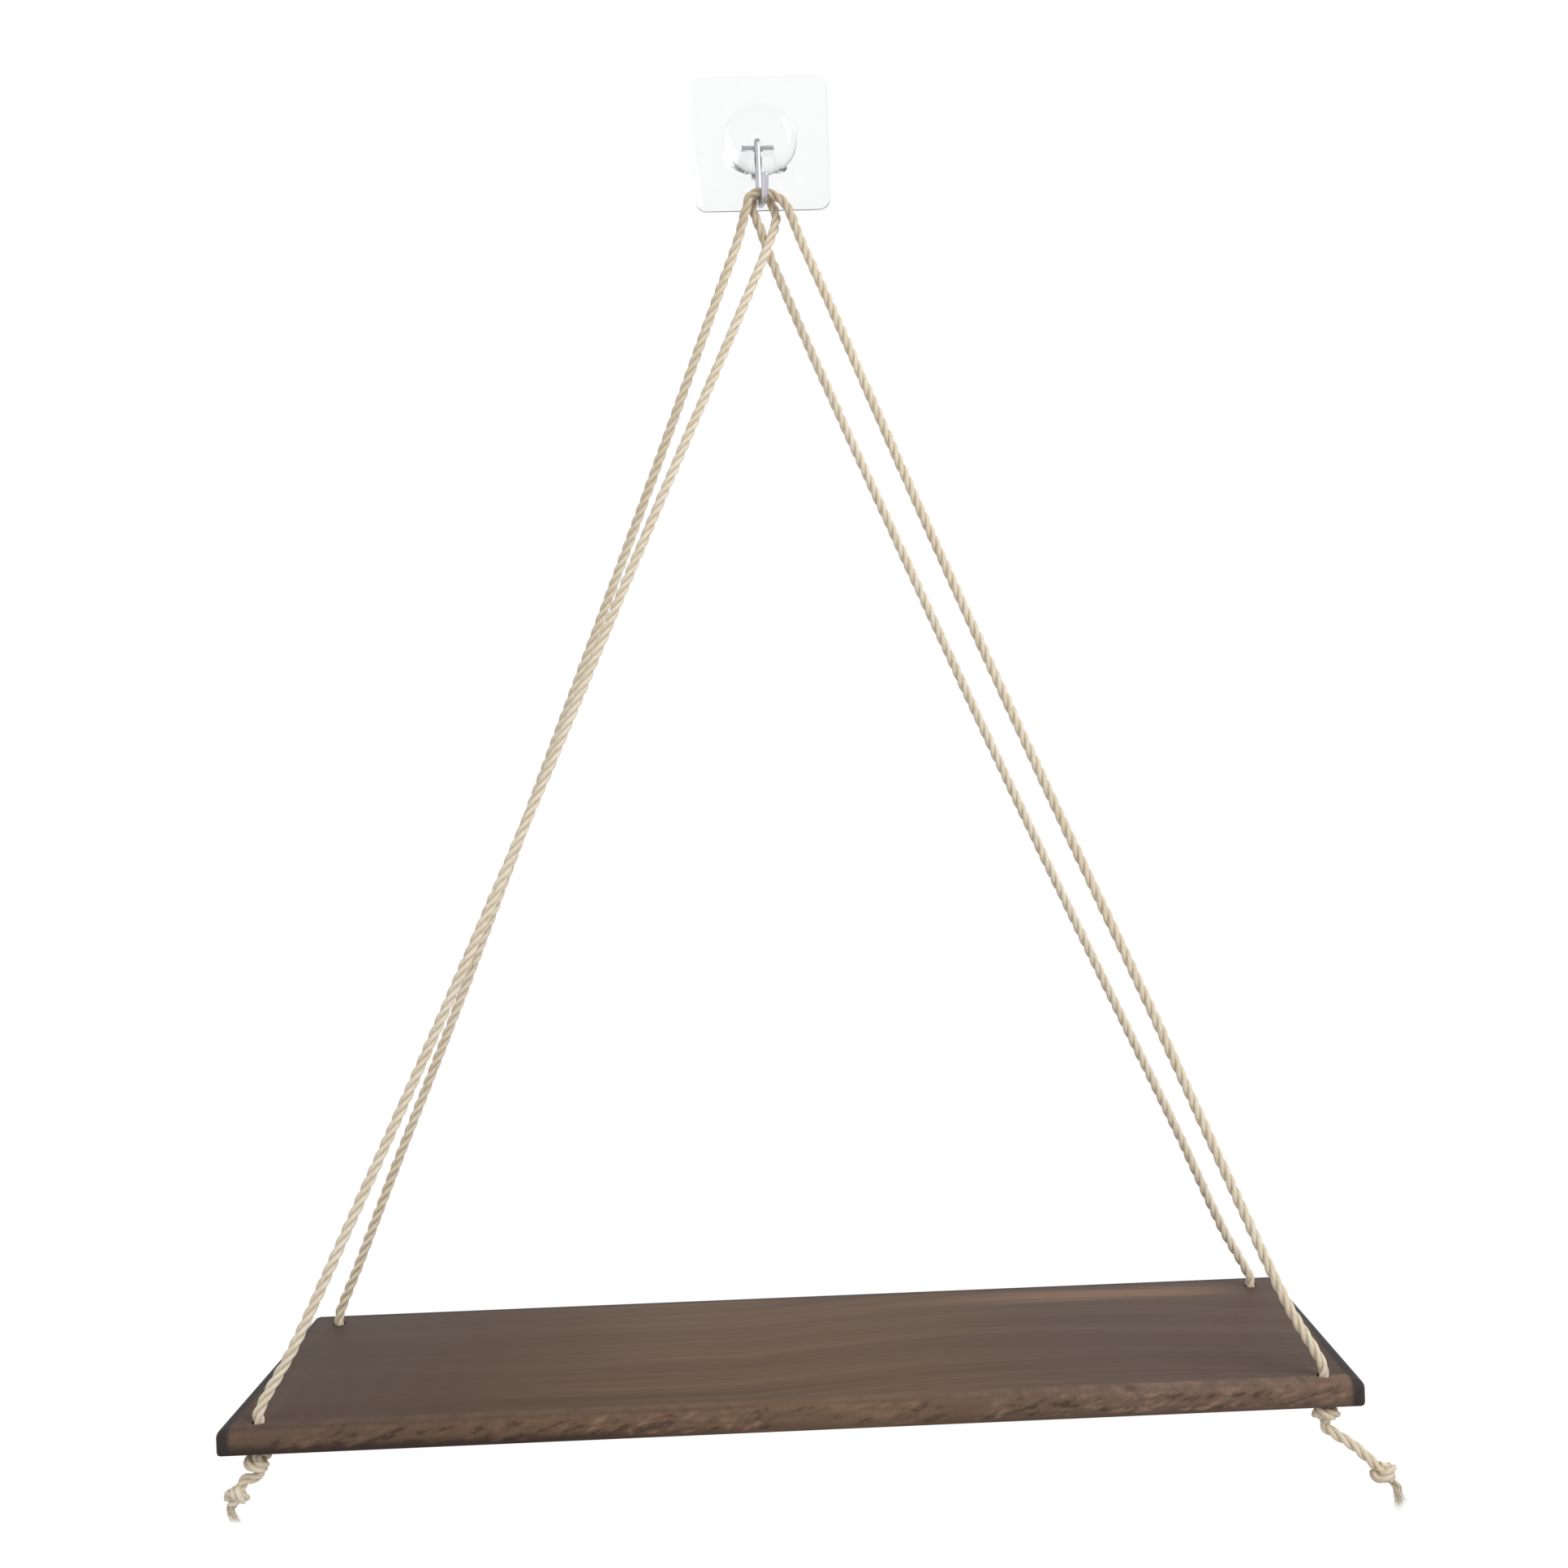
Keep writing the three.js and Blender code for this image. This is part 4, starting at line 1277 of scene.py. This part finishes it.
def add_camera(look):
    camera = bpy.data.objects.new("camera", bpy.data.cameras.new("camera"))
    bpy.context.scene.collection.objects.link(camera)
    camera.data.sensor_width = look.sensor
    camera.data.lens = look.focal_pixels / look.picture * look.sensor
    camera.data.shift_x = -look.shift_right / look.picture
    camera.data.shift_y = look.shift_down / look.picture
    camera.data.clip_start = 0.01
    turn = Matrix.Rotation(look.roll, 3, "Z") @ Matrix.Rotation(look.pitch, 3, "X")
    turn = turn @ Matrix.Rotation(look.yaw, 3, "Y")
    # Picture axes are right, down and into the picture
    picture_axes = Matrix(((1, 0, 0), (0, 0, -1), (0, 1, 0)))
    seen = turn @ picture_axes
    axes = Matrix((seen[0], -seen[1], -seen[2])).transposed()
    camera.matrix_world = Matrix.Translation(look.camera_place) @ axes.to_4x4()
    bpy.context.scene.camera = camera


def add_lamp(name, offset, power):
    """A soft round lamp at that place from the middle of the shelf, and aimed at it."""
    lamp = bpy.data.objects.new(name, bpy.data.lights.new(name, "AREA"))
    bpy.context.scene.collection.objects.link(lamp)
    lamp.data.shape = "DISK"
    lamp.data.size = LAMP_SIZE
    lamp.data.energy = power
    lamp.location = (cad_box[0] + cad_box[1]) / 2 + offset
    lamp.rotation_mode = "QUATERNION"
    lamp.rotation_quaternion = (-offset).to_track_quat("-Z", "Y")


def add_white_world(look):
    """White for the camera, for glossy and for see-through rays, and plain even light for the rest."""
    bpy.context.scene.world = bpy.data.worlds.new("white_room")
    finish = Finish(bpy.context.scene.world)
    seen, shiny, through = (finish.value("ShaderNodeLightPath", output=f"Is {kind} Ray")
                            for kind in ("Camera", "Glossy", "Transmission"))
    white = finish.maths("MAXIMUM", finish.maths("MAXIMUM", seen, shiny), through)
    strength = finish.value("ShaderNodeMapRange", {"Value": white, "To Min": look.ambient})
    light = finish.value("ShaderNodeBackground", {"Color": (1, 1, 1), "Strength": strength})
    finish.node("ShaderNodeOutputWorld", {"Surface": light})


def pale_floor(look):
    """A pale floor that keeps the shelf's shadow and fades out into the white room."""
    finish = Finish(bpy.data.materials.new("pale_floor"))
    x, y, _ = finish.split(finish.object_place())
    away = finish.maths("SQRT", x * x + y * y)
    solid = away.between(look.floor_radius, 0.35 * look.floor_radius)
    pale = finish.value("ShaderNodeBsdfDiffuse", {"Color": [FLOOR_GREY] * 3})
    clear = finish.value("ShaderNodeBsdfTransparent")
    return finish.surface(finish.value("ShaderNodeMixShader", {0: solid, 1: clear, 2: pale}))


def add_floor(look):
    floor = new_primitive(bpy.ops.mesh.primitive_circle_add, "pale_floor", vertices=96,
                          radius=look.floor_radius, fill_type="NGON", location=(0, 0, -look.floor_drop))
    floor.data.materials.append(pale_floor(look))


OPERATORS = (SHELF_OT_stage, SHELF_OT_ropes, SHELF_OT_board, SHELF_OT_wall_hook, SHELF_OT_wire_hook)


class SHELF_PT_panel(bpy.types.Panel):
    """Lists the steps that dress the shelf and the sizes and colours they use."""

    bl_idname = "SHELF_PT_panel"
    bl_label = "Rope shelf"
    bl_space_type = "VIEW_3D"
    bl_region_type = "UI"
    bl_category = "Rope shelf"

    def draw(self, context):
        for operator in OPERATORS:
            self.layout.operator(operator.bl_idname)
        for name in LOOKS:
            look = getattr(context.scene, name)
            box = self.layout.box()
            for prop in look.bl_rna.properties:
                if prop.identifier not in ("rna_type", "name"):
                    box.prop(look, prop.identifier)


LOOKS = {"board_look": BoardLook, "hook_look": HookLook, "rope_look": RopeLook, "stage_look": StageLook}


def register():
    for group in (*LOOKS.values(), *OPERATORS, SHELF_PT_panel):
        bpy.utils.register_class(group)
    for name, group in LOOKS.items():
        setattr(bpy.types.Scene, name, PointerProperty(type=group))


def unregister():
    for name in LOOKS:
        delattr(bpy.types.Scene, name)
    for group in reversed((*LOOKS.values(), *OPERATORS, SHELF_PT_panel)):
        bpy.utils.unregister_class(group)


def main():
    register()
    bpy.ops.rope_shelf.stage()
    bpy.ops.rope_shelf.ropes()
    bpy.ops.rope_shelf.board()
    bpy.ops.rope_shelf.wall_hook()
    bpy.ops.rope_shelf.wire_hook()


if __name__ == "__main__":
    main()
